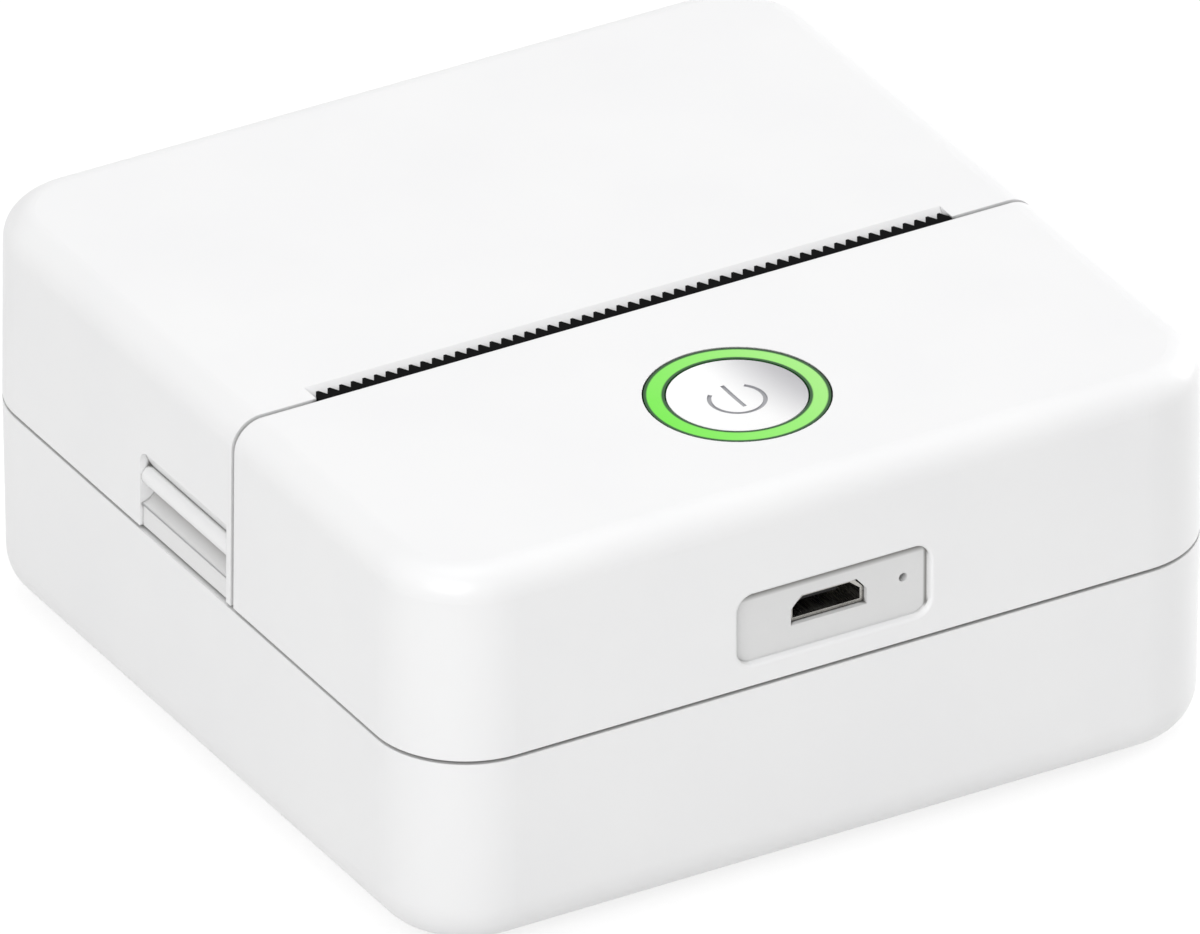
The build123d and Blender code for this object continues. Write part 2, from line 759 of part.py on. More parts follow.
# Front shell: the fixed front half of the top, with the button hole and the socket opening.
recess_floor_y = front_y + wall_inset(recess_z) + recess_depth
hook_limits = both_sides(
    body_width / 2 - side_wall - part_gap - hook_thickness, body_width / 2 - side_wall - part_gap
)
with BuildPart() as front_shell:
    add(outer_upper)
    add(inner_upper, mode=Mode.SUBTRACT)
    block(
        (-body_width, body_width),
        (-body_depth, body_depth),
        (seam_z - seam_gap, seam_z + seam_gap / 2),
        Mode.SUBTRACT,
    )
    block(
        (-body_width, body_width),
        (front_seam_y - seam_gap / 2, body_depth),
        (seam_z - seam_gap, top_z + seam_gap),
        Mode.SUBTRACT,
    )
    # Stiffening rib behind the paper exit.
    block(
        (-rib_half, rib_half),
        (front_seam_y - seam_gap / 2 - front_rib_thickness, front_seam_y - seam_gap / 2),
        (ceiling_z - front_rib_drop, ceiling_z + seat_gap),
    )
    # Hole for the light ring and the button.
    post(0, button_y, ring_outer_radius + ring_gap, (ceiling_z - top_wall, top_z + top_wall), Mode.SUBTRACT)
    # Shallow recess with a rounded rim, and the openings in its floor.
    with BuildSketch(Plane.XZ.offset(-recess_floor_y)):
        with Locations((0, recess_z)):
            RectangleRounded(recess_width, recess_height, recess_corner)
    extrude(amount=2 * recess_depth, taper=-recess_wall_slope, mode=Mode.SUBTRACT)
    recess_rim = (
        front_shell.edges()
        .filter_by_position(Axis.Y, front_y, front_y + recess_depth / 2)
        .filter_by_position(Axis.X, -recess_width, recess_width)
        .filter_by_position(Axis.Z, recess_z - recess_height, recess_z + recess_height)
        .filter_by(lambda edge: edge.center().Z > seam_z + seam_gap)
    )
    fillet(recess_rim, recess_rim_radius)
    with BuildSketch(Plane.XZ.offset(-recess_floor_y)):
        with BuildLine():
            Polyline(
                *socket_outline(
                    socket_width + 2 * socket_hole_gap,
                    socket_narrow_width + 2 * socket_hole_gap,
                    socket_height + 2 * socket_hole_gap,
                ),
                close=True,
            )
        make_face()
        with Locations((reset_x, reset_z)):
            Circle(reset_hole_radius)
    extrude(amount=-2 * side_wall, mode=Mode.SUBTRACT)
    # Bosses that the case screws and the board screws bite into.
    for side in (-1, 1):
        post(side * case_screw_x, case_screw_y, boss_radius, (column_top, ceiling_z + seat_gap))
        post(
            side * case_screw_x, case_screw_y, screw_radius + screw_fit,
            (column_top, column_top - column_web + case_screw_length + part_gap), Mode.SUBTRACT,
        )
        for screw_y in board_screw_ys:
            post(side * board_screw_x, screw_y, boss_radius, (board_top_z, ceiling_z + seat_gap))
            post(
                side * board_screw_x, screw_y, screw_radius + screw_fit,
                (board_top_z, board_bottom_z + board_screw_length + part_gap), Mode.SUBTRACT,
            )
    # Snap hooks that reach down inside the base.
    for side, limits in zip((1, -1), hook_limits):
        hook_y_limits = (hook_y - hook_width / 2, hook_y + hook_width / 2 - part_gap)
        block(limits, hook_y_limits, (seam_z - hook_length, seam_z + hook_root))
        block(
            (limits[0] - (1 - side) / 2 * hook_thickness, limits[1] + (1 + side) / 2 * hook_thickness),
            hook_y_limits,
            (seam_z + seam_gap, seam_z + hook_root),
        )
        barb_start = body_width / 2 - side_wall - part_gap - hook_thickness / 2
        barb_limits = sorted((side * barb_start, side * (body_width / 2 - side_wall + barb_depth / 2)))
        block(barb_limits, hook_y_limits, (seam_z - hook_length, seam_z - hook_length + barb_height))
    # Slot in the rear edge that holds the tear bar.
    block(
        (-tear_bar_half - tear_slot_play, tear_bar_half + tear_slot_play),
        (front_seam_y + tear_bar_shown - tear_bar_buried - seat_gap, front_seam_y + seam_gap),
        (tear_plate_z - screw_fit, tear_plate_z + tear_bar_thickness + screw_fit),
        Mode.SUBTRACT,
    )
front_shell.part.label = "front_shell"
export_step(front_shell.part, "parts/front_shell.step")


# Tear bar: a steel strip, gripped in the shell's slot and stepped up at the paper exit,
# where its saw edge lies level with the top.
tear_tooth_count = round(2 * tear_bar_half / tear_tooth_pitch)
tear_pitch = 2 * tear_bar_half / tear_tooth_count
tear_flank = (tear_pitch - tear_tip_width) / 2
tear_root_y = front_seam_y + tear_bar_shown
tear_top_z = top_z - tear_bar_below_top
with BuildPart() as tear_bar:
    block(
        (-tear_bar_half, tear_bar_half),
        (tear_root_y - tear_bar_buried, tear_root_y),
        (tear_plate_z, tear_plate_z + tear_bar_thickness),
    )
    block(
        (-tear_bar_half, tear_bar_half),
        (front_seam_y - seam_gap / 2 + seat_gap, tear_root_y),
        (tear_plate_z, tear_top_z),
    )
    with BuildSketch(Plane.XY.offset(tear_top_z - tear_bar_thickness)):
        with BuildLine():
            saw = [(-tear_bar_half, tear_root_y)]
            for tooth in range(tear_tooth_count):
                tooth_x = -tear_bar_half + tooth * tear_pitch
                saw.append((tooth_x + tear_flank, tear_root_y + tear_tooth_length))
                saw.append((tooth_x + tear_flank + tear_tip_width, tear_root_y + tear_tooth_length))
                saw.append((tooth_x + tear_pitch, tear_root_y))
            Polyline(
                *saw,
                (tear_bar_half, tear_root_y - tear_bar_shown),
                (-tear_bar_half, tear_root_y - tear_bar_shown),
                close=True,
            )
        make_face()
    extrude(amount=tear_bar_thickness)
tear_bar.part.label = "tear_bar"
export_step(tear_bar.part, "parts/tear_bar.step")


def grip_point(depth, height):
    """A point of the grip's profile, at a depth under the wall and a height over the seam."""
    return (body_width / 2 - wall_inset(seam_z + height) - depth, seam_z + height)


# Pocket of a finger grip: a flat panel below, a hollow that curls in under a rounded
# ridge, and a slope above it that runs out to a thin edge.
cover_front_y = front_seam_y - seam_gap / 2 + split_gap
grip_front_y = cover_front_y + grip_front_land
ridge_low = grip_ridge_height - grip_ridge_half
ridge_high = grip_ridge_height + grip_ridge_half
with BuildPart() as grip_form:
    with BuildSketch(Plane.XZ.offset(-grip_front_y)):
        with BuildLine():
            Line(grip_point(-grip_cove_depth, 0), grip_point(grip_panel_depth, 0))
            Line(grip_point(grip_panel_depth, 0), grip_point(grip_panel_depth, grip_panel_top))
            Line(grip_point(grip_panel_depth, grip_panel_top), grip_point(grip_panel_lip, grip_panel_top))
            TangentArc(
                grip_point(grip_panel_lip, grip_panel_top), grip_point(grip_cove_depth, ridge_low),
                tangent=(-1, 0),
            )
            ThreePointArc(
                grip_point(grip_cove_depth, ridge_low),
                grip_point(grip_ridge_depth, grip_ridge_height),
                grip_point(grip_slope_depth, ridge_high),
            )
            Line(grip_point(grip_slope_depth, ridge_high), grip_point(grip_edge_depth, grip_top))
            Line(grip_point(grip_edge_depth, grip_top), grip_point(-grip_cove_depth, grip_top))
            Line(grip_point(-grip_cove_depth, grip_top), grip_point(-grip_cove_depth, 0))
        make_face()
    extrude(amount=-(grip_rear_y - grip_front_y))
    with BuildSketch(Plane.YZ):
        with BuildLine():
            Polyline(
                (grip_rear_y - grip_corner, seam_z + grip_top),
                (grip_front_y, seam_z + grip_top),
                (grip_front_y, seam_z),
                (grip_rear_y, seam_z),
                (grip_rear_y, seam_z + grip_top - grip_corner),
            )
            TangentArc(
                (grip_rear_y, seam_z + grip_top - grip_corner),
                (grip_rear_y - grip_corner, seam_z + grip_top),
                tangent=(0, 1),
            )
        make_face()
    extrude(amount=body_width, mode=Mode.INTERSECT)
grip_pocket = grip_form.part

# Cover shell: the rear half of the top, over the paper roll.
exit_edge_y = front_seam_y + tear_bar_shown + tear_tooth_length + tear_tip_gap
with BuildPart() as cover_shell:
    add(outer_upper)
    add(inner_upper, mode=Mode.SUBTRACT)
    # Backing behind the finger grips.
    wall_inner_x = body_width / 2 - side_wall
    for limits in both_sides(wall_inner_x - grip_backing, wall_inner_x + part_gap):
        block(
            limits,
            (cover_front_y, grip_rear_y + grip_backing),
            (seam_z, seam_z + grip_top + grip_backing),
        )
    block(
        (-body_width, body_width),
        (-body_depth, body_depth),
        (seam_z - seam_gap, seam_z + seam_gap / 2),
        Mode.SUBTRACT,
    )
    block(
        (-body_width, body_width),
        (-body_depth, cover_front_y),
        (seam_z - seam_gap, top_z + seam_gap),
        Mode.SUBTRACT,
    )
    # The edge stands back from the tear bar to let the paper out.
    block(
        (-tear_bar_half - tear_end_gap, tear_bar_half + tear_end_gap),
        (cover_front_y - seam_gap, exit_edge_y),
        (ceiling_z - top_wall, top_z + seam_gap),
        Mode.SUBTRACT,
    )
    # The exit edge is bevelled, so that torn paper lies flat over it.
    with BuildSketch(Plane.YZ.offset(-tear_bar_half - tear_end_gap)):
        with BuildLine():
            Polyline(
                (exit_edge_y, top_z - exit_bevel),
                (exit_edge_y, top_z + seam_gap),
                (exit_edge_y + exit_bevel + seam_gap, top_z + seam_gap),
                close=True,
            )
        make_face()
    extrude(amount=2 * (tear_bar_half + tear_end_gap), mode=Mode.SUBTRACT)
    block(
        (-rib_half, rib_half),
        (exit_edge_y, exit_edge_y + cover_rib_thickness),
        (ceiling_z - cover_rib_drop, ceiling_z + seat_gap),
    )
    # Hinge side.
    add(cover_wedge, mode=Mode.SUBTRACT)
    for knuckle in base_knuckles:
        knuckle_room = (knuckle[0] - part_gap, knuckle[1] + part_gap)
        rod(knuckle_room, hinge_axis, knuckle_radius + part_gap, Mode.SUBTRACT)
    for knuckle in cover_knuckles:
        rod(knuckle, hinge_axis, knuckle_radius)
    for span in hinge_pin_spans:
        rod(span, hinge_axis, hinge_pin_radius + running_fit, Mode.SUBTRACT)
    # Bosses for the screws of the platen holder.
    for side in (-1, 1):
        holder_boss_z = holder_plate_z + holder_plate_thickness
        post(side * holder_screw_x, holder_screw_y, boss_radius, (holder_boss_z, ceiling_z + seat_gap))
        post(
            side * holder_screw_x, holder_screw_y, screw_radius + screw_fit,
            (holder_boss_z, holder_plate_z + holder_screw_length), Mode.SUBTRACT,
        )
    # Finger grips.
    add(grip_pocket, mode=Mode.SUBTRACT)
    mirror(grip_pocket, about=Plane.YZ, mode=Mode.SUBTRACT)
cover_shell.part.label = "cover_shell"
export_step(cover_shell.part, "parts/cover_shell.step")


# Hinge pins, pressed through the end knuckles.
with BuildPart() as hinge_pins:
    for span in hinge_pin_spans:
        rod((span[0] + running_fit, span[1] - part_gap), hinge_axis, hinge_pin_radius)
hinge_pins.part.label = "hinge_pins"
export_step(hinge_pins.part, "parts/hinge_pins.step")


# Print frame: two side plates joined by a front wall and the paper guide.
notch_radius = bushing_radius + notch_clearance
notch_reach = frame_top_z - platen_z + notch_radius
notch_plane = Plane(
    origin=(0, platen_y, platen_z),
    x_dir=(0, sin(radians(swing_angle)), -cos(radians(swing_angle))),
    z_dir=(1, 0, 0),
)
with BuildPart() as print_frame:
    for limits in both_sides(frame_plate_x, frame_plate_outer_x):
        block(limits, (frame_front_y, frame_lower_rear_y), (frame_bottom_z, frame_top_z))
        block(limits, (frame_lower_rear_y, frame_upper_rear_y), (frame_step_z, frame_top_z))
    block(
        (frame_plate_x, frame_plate_outer_x),
        (motor_axis[0] - motor_radius - motor_plate_margin, frame_front_y),
        (frame_bottom_z, motor_plate_top_z),
    )
    block(
        (-frame_plate_x, frame_plate_x),
        (frame_front_y, frame_wall_inner_y),
        (frame_bottom_z, frame_wall_top_z),
    )
    rod((motor_rear_x - motor_room, motor_front_x), motor_axis, motor_radius + motor_room, Mode.SUBTRACT)
    # Curved guide that turns the paper up around the platen.
    guide_radius = platen_radius + guide_clearance
    with BuildSketch(Plane.YZ.offset(-frame_plate_x)):
        with BuildLine():
            guide_inner = CenterArc(
                platen_axis, guide_radius, guide_start_angle, guide_end_angle - guide_start_angle
            )
            guide_outer = CenterArc(
                platen_axis, guide_radius + guide_thickness,
                guide_start_angle, guide_end_angle - guide_start_angle,
            )
            Line(guide_inner @ 0, guide_outer @ 0)
            Line(guide_inner @ 1, guide_outer @ 1)
        make_face()
    extrude(amount=2 * frame_plate_x)
    # Open-topped notches that the platen bushings drop into.
    with BuildSketch(notch_plane):
        Circle(notch_radius)
        with BuildLine():
            Polyline(
                (-notch_radius, 0),
                (-notch_radius - notch_flare, notch_reach + notch_radius),
                (notch_radius + notch_flare, notch_reach + notch_radius),
                (notch_radius, 0),
                close=True,
            )
        make_face()
    extrude(amount=body_width / 2, both=True, mode=Mode.SUBTRACT)
    # Tabs that the frame stands on, over the bosses of the base.
    for side in (-1, 1):
        for tab_y in frame_tab_ys:
            tab_x = sorted((side * (frame_tab_x - frame_tab_half), side * (frame_plate_x + seat_gap)))
            block(
                tab_x,
                (tab_y - frame_tab_half + part_gap / 2, tab_y + frame_tab_half),
                (frame_tab_z, frame_tab_z + frame_tab_thickness),
            )
            post(
                side * frame_tab_x, tab_y, screw_radius + running_fit,
                (frame_tab_z, frame_tab_z + frame_tab_thickness), Mode.SUBTRACT,
            )
        # Pegs that centre the head springs.
        with Locations(Location((side * spring_x, frame_wall_inner_y, platen_z), (-90, 0, 0))):
            Cylinder(
                spring_peg_radius, spring_peg_length,
                align=(Align.CENTER, Align.CENTER, Align.MIN),
            )
    # Bores for the head pivot, the gear axles, the motor nose and the motor screws.
    rod((-body_width / 2, body_width / 2), head_pivot_axis, head_pin_radius + screw_fit, Mode.SUBTRACT)
    for axis in (compound_axis, idler_axis):
        rod((0, body_width / 2), axis, gear_axle_radius + screw_fit, Mode.SUBTRACT)
    rod((0, body_width / 2), motor_axis, motor_boss_radius + running_fit, Mode.SUBTRACT)
    for offset in (-motor_screw_offset, motor_screw_offset):
        rod(
            (0, body_width / 2), (motor_axis[0], motor_axis[1] + offset),
            motor_screw_radius + screw_fit, Mode.SUBTRACT,
        )
print_frame.part.label = "print_frame"
export_step(print_frame.part, "parts/print_frame.step")


# Paper cradle: the half-round trough that the roll lies in.
with BuildPart() as paper_cradle:
    rod(cradle_span, (roll_y, roll_z), cradle_outer_radius)
    rod((-cradle_half, cradle_half), (roll_y, roll_z), trough_radius, Mode.SUBTRACT)
    block(
        (-body_width, body_width),
        (roll_y - 2 * cradle_outer_radius, roll_y + 2 * cradle_outer_radius),
        (roll_z, roll_z + 2 * cradle_outer_radius),
        Mode.SUBTRACT,
    )
    # Raised front lip that hands the paper on to the frame's guide.
    block(
        (-cradle_half - cradle_wall + part_gap, cradle_half + cradle_wall - part_gap),
        (roll_y - cradle_outer_radius, roll_y - trough_radius),
        (roll_z, roll_z + cradle_lip_height),
    )
    for side in (-1, 1):
        tab_start = side * (cradle_half + cradle_wall - seat_gap)
        block(
            sorted((tab_start, tab_start + side * cradle_tab_length)),
            (roll_y - cradle_tab_width / 2, roll_y + cradle_tab_width / 2),
            (cradle_tab_z, cradle_tab_z + cradle_tab_thickness),
        )
        post(
            side * (cradle_half + cradle_wall + cradle_screw_offset), roll_y, screw_radius + running_fit,
            (cradle_tab_z, cradle_tab_z + cradle_tab_thickness), Mode.SUBTRACT,
        )
paper_cradle.part.label = "paper_cradle"
export_step(paper_cradle.part, "parts/paper_cradle.step")


# Steel bracket under the cover that carries the platen.
with BuildPart() as platen_holder:
    block(
        (-holder_arm_outer_x, holder_arm_outer_x),
        (holder_front_y, holder_rear_y),
        (holder_plate_z, holder_plate_z + holder_plate_thickness),
    )
    for limits in both_sides(holder_arm_x, holder_arm_outer_x):
        block(
            limits,
            (platen_y - holder_arm_half_width + part_gap, platen_y + holder_arm_half_width),
            (platen_z - holder_arm_drop, holder_plate_z + holder_plate_thickness),
        )
    rod((-body_width / 2, body_width / 2), platen_axis, bushing_radius + screw_fit, Mode.SUBTRACT)
    for side in (-1, 1):
        post(
            side * holder_screw_x, holder_screw_y, screw_radius + running_fit,
            (holder_plate_z, holder_plate_z + holder_plate_thickness), Mode.SUBTRACT,
        )
platen_holder.part.label = "platen_holder"
export_step(platen_holder.part, "parts/platen_holder.step")


# Plain bushings, pressed into the holder's arms.
with BuildPart() as platen_bushings:
    for limits in both_sides(frame_plate_x, bushing_end_x):
        rod(limits, platen_axis, bushing_radius)
    rod((-body_width / 2, body_width / 2), platen_axis, platen_shaft_radius + running_fit, Mode.SUBTRACT)
platen_bushings.part.label = "platen_bushings"
export_step(platen_bushings.part, "parts/platen_bushings.step")


# Platen roller: a steel shaft in a rubber sleeve, with its gear on the right end.
with BuildPart() as platen_shaft:
    rod(
        (-bushing_end_x - platen_shaft_stand_left, inner_gear_x + gear_width + platen_shaft_stand_right),
        platen_axis, platen_shaft_radius,
    )
platen_shaft.part.label = "platen_shaft"
export_step(platen_shaft.part, "parts/platen_shaft.step")

with BuildPart() as platen_rubber:
    rod((-platen_half, platen_half), platen_axis, platen_radius)
    rod((-platen_half, platen_half), platen_axis, platen_shaft_radius, Mode.SUBTRACT)
platen_rubber.part.label = "platen_rubber"
export_step(platen_rubber.part, "parts/platen_rubber.step")

platen_gear_outline = gear_outline(platen_teeth, platen_phase, platen_axis, inner_gear_x)
with BuildPart() as platen_gear:
    extrude(platen_gear_outline, amount=gear_width)
    rod((0, body_width / 2), platen_axis, platen_shaft_radius, Mode.SUBTRACT)
platen_gear.part.label = "platen_gear"
export_step(platen_gear.part, "parts/platen_gear.step")


# Print head: an aluminium heatsink with the ceramic heater strip on its face.
with BuildPart() as head_heatsink:
    block(
        (-heatsink_half, heatsink_half),
        (heatsink_back_y, heatsink_front_y),
        (head_bottom_z, head_top_z),
    )
    rod((-heatsink_half, heatsink_half), head_pivot_axis, head_barrel_radius)
    rod(
        (-heatsink_half, heatsink_half), head_pivot_axis,
        head_pin_radius + running_fit, Mode.SUBTRACT,
    )
head_heatsink.part.label = "head_heatsink"
export_step(head_heatsink.part, "parts/head_heatsink.step")

with BuildPart() as head_ceramic:
    block(
        (-platen_half, platen_half),
        (heatsink_front_y, ceramic_face_y),
        (head_top_z - ceramic_height, head_top_z),
    )
head_ceramic.part.label = "head_ceramic"
export_step(head_ceramic.part, "parts/head_ceramic.step")

# Resin cover over the driver chips, low on the heatsink and clear of the platen.
with BuildPart() as head_chip_cover:
    block(
        (-platen_half + boss_radius, platen_half - boss_radius),
        (heatsink_front_y, ceramic_face_y - chip_cover_depth),
        (head_top_z - ceramic_height - seat_gap - chip_cover_height, head_top_z - ceramic_height - seat_gap),
    )
head_chip_cover.part.label = "head_chip_cover"
export_step(head_chip_cover.part, "parts/head_chip_cover.step")

with BuildPart() as head_pivot_pin:
    rod((-frame_plate_outer_x, frame_plate_outer_x), head_pivot_axis, head_pin_radius)
head_pivot_pin.part.label = "head_pivot_pin"
export_step(head_pivot_pin.part, "parts/head_pivot_pin.step")

# Two coil springs that press the head on the platen.
spring_start_y = frame_wall_inner_y + spring_wire_radius + seat_gap
spring_length = heatsink_back_y - frame_wall_inner_y - 2 * (spring_wire_radius + seat_gap)
with BuildPart() as head_springs:
    for side in (-1, 1):
        with BuildLine():
            spring_path = Helix(
                pitch=spring_length / spring_turns,
                height=spring_length,
                radius=spring_coil_radius,
                center=(side * spring_x, spring_start_y, platen_z),
                direction=(0, 1, 0),
            )
        with BuildSketch(Plane(origin=spring_path @ 0, z_dir=spring_path % 0)):
            Circle(spring_wire_radius)
        sweep(path=spring_path)
head_springs.part.label = "head_springs"
export_step(head_springs.part, "parts/head_springs.step")


# Gears between the motor and the platen.
compound_large = gear_outline(compound_large_teeth, compound_large_phase, compound_axis, outer_gear_x)
compound_small = gear_outline(compound_small_teeth, compound_small_phase, compound_axis, inner_gear_x)
with BuildPart() as compound_gear:
    extrude(compound_large, amount=gear_width)
    extrude(compound_small, amount=gear_width)
    rod((frame_plate_outer_x + part_gap, outer_gear_x + gear_width), compound_axis, gear_hub_radius)
    rod((0, body_width / 2), compound_axis, gear_axle_radius + running_fit, Mode.SUBTRACT)
compound_gear.part.label = "compound_gear"
export_step(compound_gear.part, "parts/compound_gear.step")

idler_outline = gear_outline(idler_teeth, idler_phase, idler_axis, inner_gear_x)
with BuildPart() as idler_gear:
    extrude(idler_outline, amount=gear_width)
    rod((frame_plate_outer_x + part_gap, inner_gear_x + gear_width), idler_axis, gear_hub_radius)
    rod((0, body_width / 2), idler_axis, gear_axle_radius + running_fit, Mode.SUBTRACT)
idler_gear.part.label = "idler_gear"
export_step(idler_gear.part, "parts/idler_gear.step")

with BuildPart() as gear_axles:
    rod((frame_plate_x, compound_axle_end_x), compound_axis, gear_axle_radius)
    rod((frame_plate_x, idler_axle_end_x), idler_axis, gear_axle_radius)
gear_axles.part.label = "gear_axles"
export_step(gear_axles.part, "parts/gear_axles.step")


# Stepper motor with its shaft and pinion.
with BuildPart() as motor_can:
    rod((motor_rear_x, motor_front_x), motor_axis, motor_radius)
    rod((motor_front_x - seat_gap, frame_plate_outer_x), motor_axis, motor_boss_radius)
    rod((motor_rear_x, body_width / 2), motor_axis, motor_shaft_radius + running_fit, Mode.SUBTRACT)
    for offset in (-motor_screw_offset, motor_screw_offset):
        rod(
            (frame_plate_outer_x - motor_screw_length, frame_plate_outer_x),
            (motor_axis[0], motor_axis[1] + offset),
            motor_screw_radius + screw_fit, Mode.SUBTRACT,
        )
motor_can.part.label = "motor_can"
export_step(motor_can.part, "parts/motor_can.step")

with BuildPart() as motor_shaft:
    rod((motor_rear_x, outer_gear_x + gear_width + motor_shaft_stand), motor_axis, motor_shaft_radius)
motor_shaft.part.label = "motor_shaft"
export_step(motor_shaft.part, "parts/motor_shaft.step")

motor_pinion_outline = gear_outline(motor_teeth, motor_phase, motor_axis, outer_gear_x)
with BuildPart() as motor_pinion:
    extrude(motor_pinion_outline, amount=gear_width)
    rod((0, body_width / 2), motor_axis, motor_shaft_radius, Mode.SUBTRACT)
motor_pinion.part.label = "motor_pinion"
export_step(motor_pinion.part, "parts/motor_pinion.step")


# Main board with its holes for the four board screws.
with BuildPart() as main_board:
    block(
        (-board_half_width, board_half_width),
        (board_front_y, board_rear_y),
        (board_bottom_z, board_top_z),
    )
    for side in (-1, 1):
        for screw_y in board_screw_ys:
            post(
                side * board_screw_x, screw_y, screw_radius + running_fit,
                (board_bottom_z, board_top_z), Mode.SUBTRACT,
            )
main_board.part.label = "main_board"
export_step(main_board.part, "parts/main_board.step")


# Micro-USB socket: a folded steel shell with the contact tongue inside.
socket_front_y = recess_floor_y + socket_setback
with BuildPart() as usb_socket_shell:
    with BuildSketch(Plane.XZ.offset(-socket_front_y)):
        with BuildLine():
            Polyline(*socket_outline(socket_width, socket_narrow_width, socket_height), close=True)
        make_face()
    extrude(amount=-socket_length)
    with BuildSketch(Plane.XZ.offset(-socket_front_y)):
        with BuildLine():
            Polyline(
                *socket_outline(
                    socket_width - 2 * socket_wall,
                    socket_narrow_width - 2 * socket_wall,
                    socket_height - 2 * socket_wall,
                ),
                close=True,
            )
        make_face()
    extrude(amount=-(socket_length - socket_wall), mode=Mode.SUBTRACT)
usb_socket_shell.part.label = "usb_socket_shell"
export_step(usb_socket_shell.part, "parts/usb_socket_shell.step")

tongue_root_y = socket_front_y + socket_length - socket_wall
with BuildPart() as usb_socket_tongue:
    block(
        (socket_x - tongue_width / 2, socket_x + tongue_width / 2),
        (tongue_root_y - tongue_length, tongue_root_y),
        (socket_z - tongue_thickness / 2, socket_z + tongue_thickness / 2),
    )
usb_socket_tongue.part.label = "usb_socket_tongue"
export_step(usb_socket_tongue.part, "parts/usb_socket_tongue.step")


# Reset switch: a small case on the board and a plunger behind the pinhole.
reset_front_y = front_y + wall_inset(reset_z) + side_wall + reset_plunger_length / 2 + part_gap
with BuildPart() as reset_switch:
    block(
        (reset_x - reset_body_width / 2, reset_x + reset_body_width / 2),
        (reset_front_y, reset_front_y + reset_body_depth),
        (board_top_z, board_top_z + reset_body_height),
    )
    with Locations(Location((reset_x, reset_front_y + reset_body_depth / 2, reset_z), (90, 0, 0))):
        Cylinder(
            reset_plunger_radius + running_fit, reset_body_depth,
            align=(Align.CENTER, Align.CENTER, Align.MIN), mode=Mode.SUBTRACT,
        )
reset_switch.part.label = "reset_switch"
export_step(reset_switch.part, "parts/reset_switch.step")

reset_plunger_sunk = reset_body_depth / 2 - reset_travel - running_fit
with BuildPart() as reset_plunger:
    with Locations(Location((reset_x, reset_front_y - reset_plunger_length / 2, reset_z), (-90, 0, 0))):
        Cylinder(
            reset_plunger_radius, reset_plunger_length / 2 + reset_plunger_sunk,
            align=(Align.CENTER, Align.CENTER, Align.MIN),
        )
reset_plunger.part.label = "reset_plunger"
export_step(reset_plunger.part, "parts/reset_plunger.step")


# Light ring: a clear green ring on a flange, with legs down to the lamps.
led_count = 4
led_angles = [(2 * place + 1) * pi / led_count for place in range(led_count)]
led_places = [
    (ring_leg_radius * cos(angle), button_y + ring_leg_radius * sin(angle)) for angle in led_angles
]
with BuildPart() as light_ring:
    post(0, button_y, ring_outer_radius, (ceiling_z - ring_flange_height, top_z - ring_below_top))
    post(0, button_y, ring_flange_radius, (ceiling_z - ring_flange_height, ceiling_z))
    post(0, button_y, ring_inner_radius, (ceiling_z - top_wall, top_z), Mode.SUBTRACT)
    for place in led_places:
        block(
            (place[0] - ring_leg_half, place[0] + ring_leg_half),
            (place[1] - ring_leg_half, place[1] + ring_leg_half),
            (board_top_z + led_height + led_play, ceiling_z - ring_flange_height + seat_gap),
        )
light_ring.part.label = "light_ring"
export_step(light_ring.part, "parts/light_ring.step")

with BuildPart() as status_leds:
    for place in led_places:
        block(
            (place[0] - led_half, place[0] + led_half),
            (place[1] - led_half, place[1] + led_half),
            (board_top_z, board_top_z + led_height),
        )
status_leds.part.label = "status_leds"
export_step(status_leds.part, "parts/status_leds.step")


# Power button: a dished cap on a stem, with the power sign engraved in it.
button_top_z = top_z - button_below_top
button_stop_z = ceiling_z - ring_flange_height - button_stop_gap
switch_top_z = board_top_z + switch_height + switch_plunger_height
dish_depth = (ring_inner_radius - ring_gap) ** 2 / (2 * button_dish_radius)
dish_centre_z = button_top_z - dish_depth + button_dish_radius
with BuildPart() as power_button:
    post(0, button_y, ring_inner_radius - ring_gap, (button_stop_z - button_flange_height, button_top_z))
    post(0, button_y, button_flange_radius, (button_stop_z - button_flange_height, button_stop_z))
    post(0, button_y, button_stem_radius, (switch_top_z, button_top_z - button_cap_height))
    with BuildSketch(Plane.XY.offset(button_top_z)):
        with Locations((0, button_y)):
            Circle(symbol_radius + symbol_line / 2)
            Circle(symbol_radius - symbol_line / 2, mode=Mode.SUBTRACT)
        with BuildLine():
            gap_right = polar(2 * symbol_radius, radians(90 - symbol_gap_angle))
            gap_left = polar(2 * symbol_radius, radians(90 + symbol_gap_angle))
            Polyline(
                (0, button_y),
                (gap_right[0], button_y + gap_right[1]),
                (gap_left[0], button_y + gap_left[1]),
                close=True,
            )
        make_face(mode=Mode.SUBTRACT)
        with Locations((0, button_y + symbol_bar_top - symbol_bar_length / 2)):
            Rectangle(symbol_line, symbol_bar_length)
    extrude(amount=-(dish_depth + symbol_depth), mode=Mode.SUBTRACT)
    with Locations((0, button_y, dish_centre_z)):
        Sphere(button_dish_radius, mode=Mode.SUBTRACT)
power_button.part.label = "power_button"
export_step(power_button.part, "parts/power_button.step")

with BuildPart() as power_switch:
    block(
        (-switch_half, switch_half),
        (button_y - switch_half, button_y + switch_half),
        (board_top_z, board_top_z + switch_height),
    )
    post(
        0, button_y, switch_plunger_radius + running_fit,
        (board_top_z + switch_height - 2 * switch_plunger_sunk, board_top_z + switch_height), Mode.SUBTRACT,
    )
power_switch.part.label = "power_switch"
export_step(power_switch.part, "parts/power_switch.step")

with BuildPart() as power_switch_plunger:
    plunger_foot_z = board_top_z + switch_height - switch_plunger_sunk
    post(0, button_y, switch_plunger_radius, (plunger_foot_z, switch_top_z))
power_switch_plunger.part.label = "power_switch_plunger"
export_step(power_switch_plunger.part, "parts/power_switch_plunger.step")


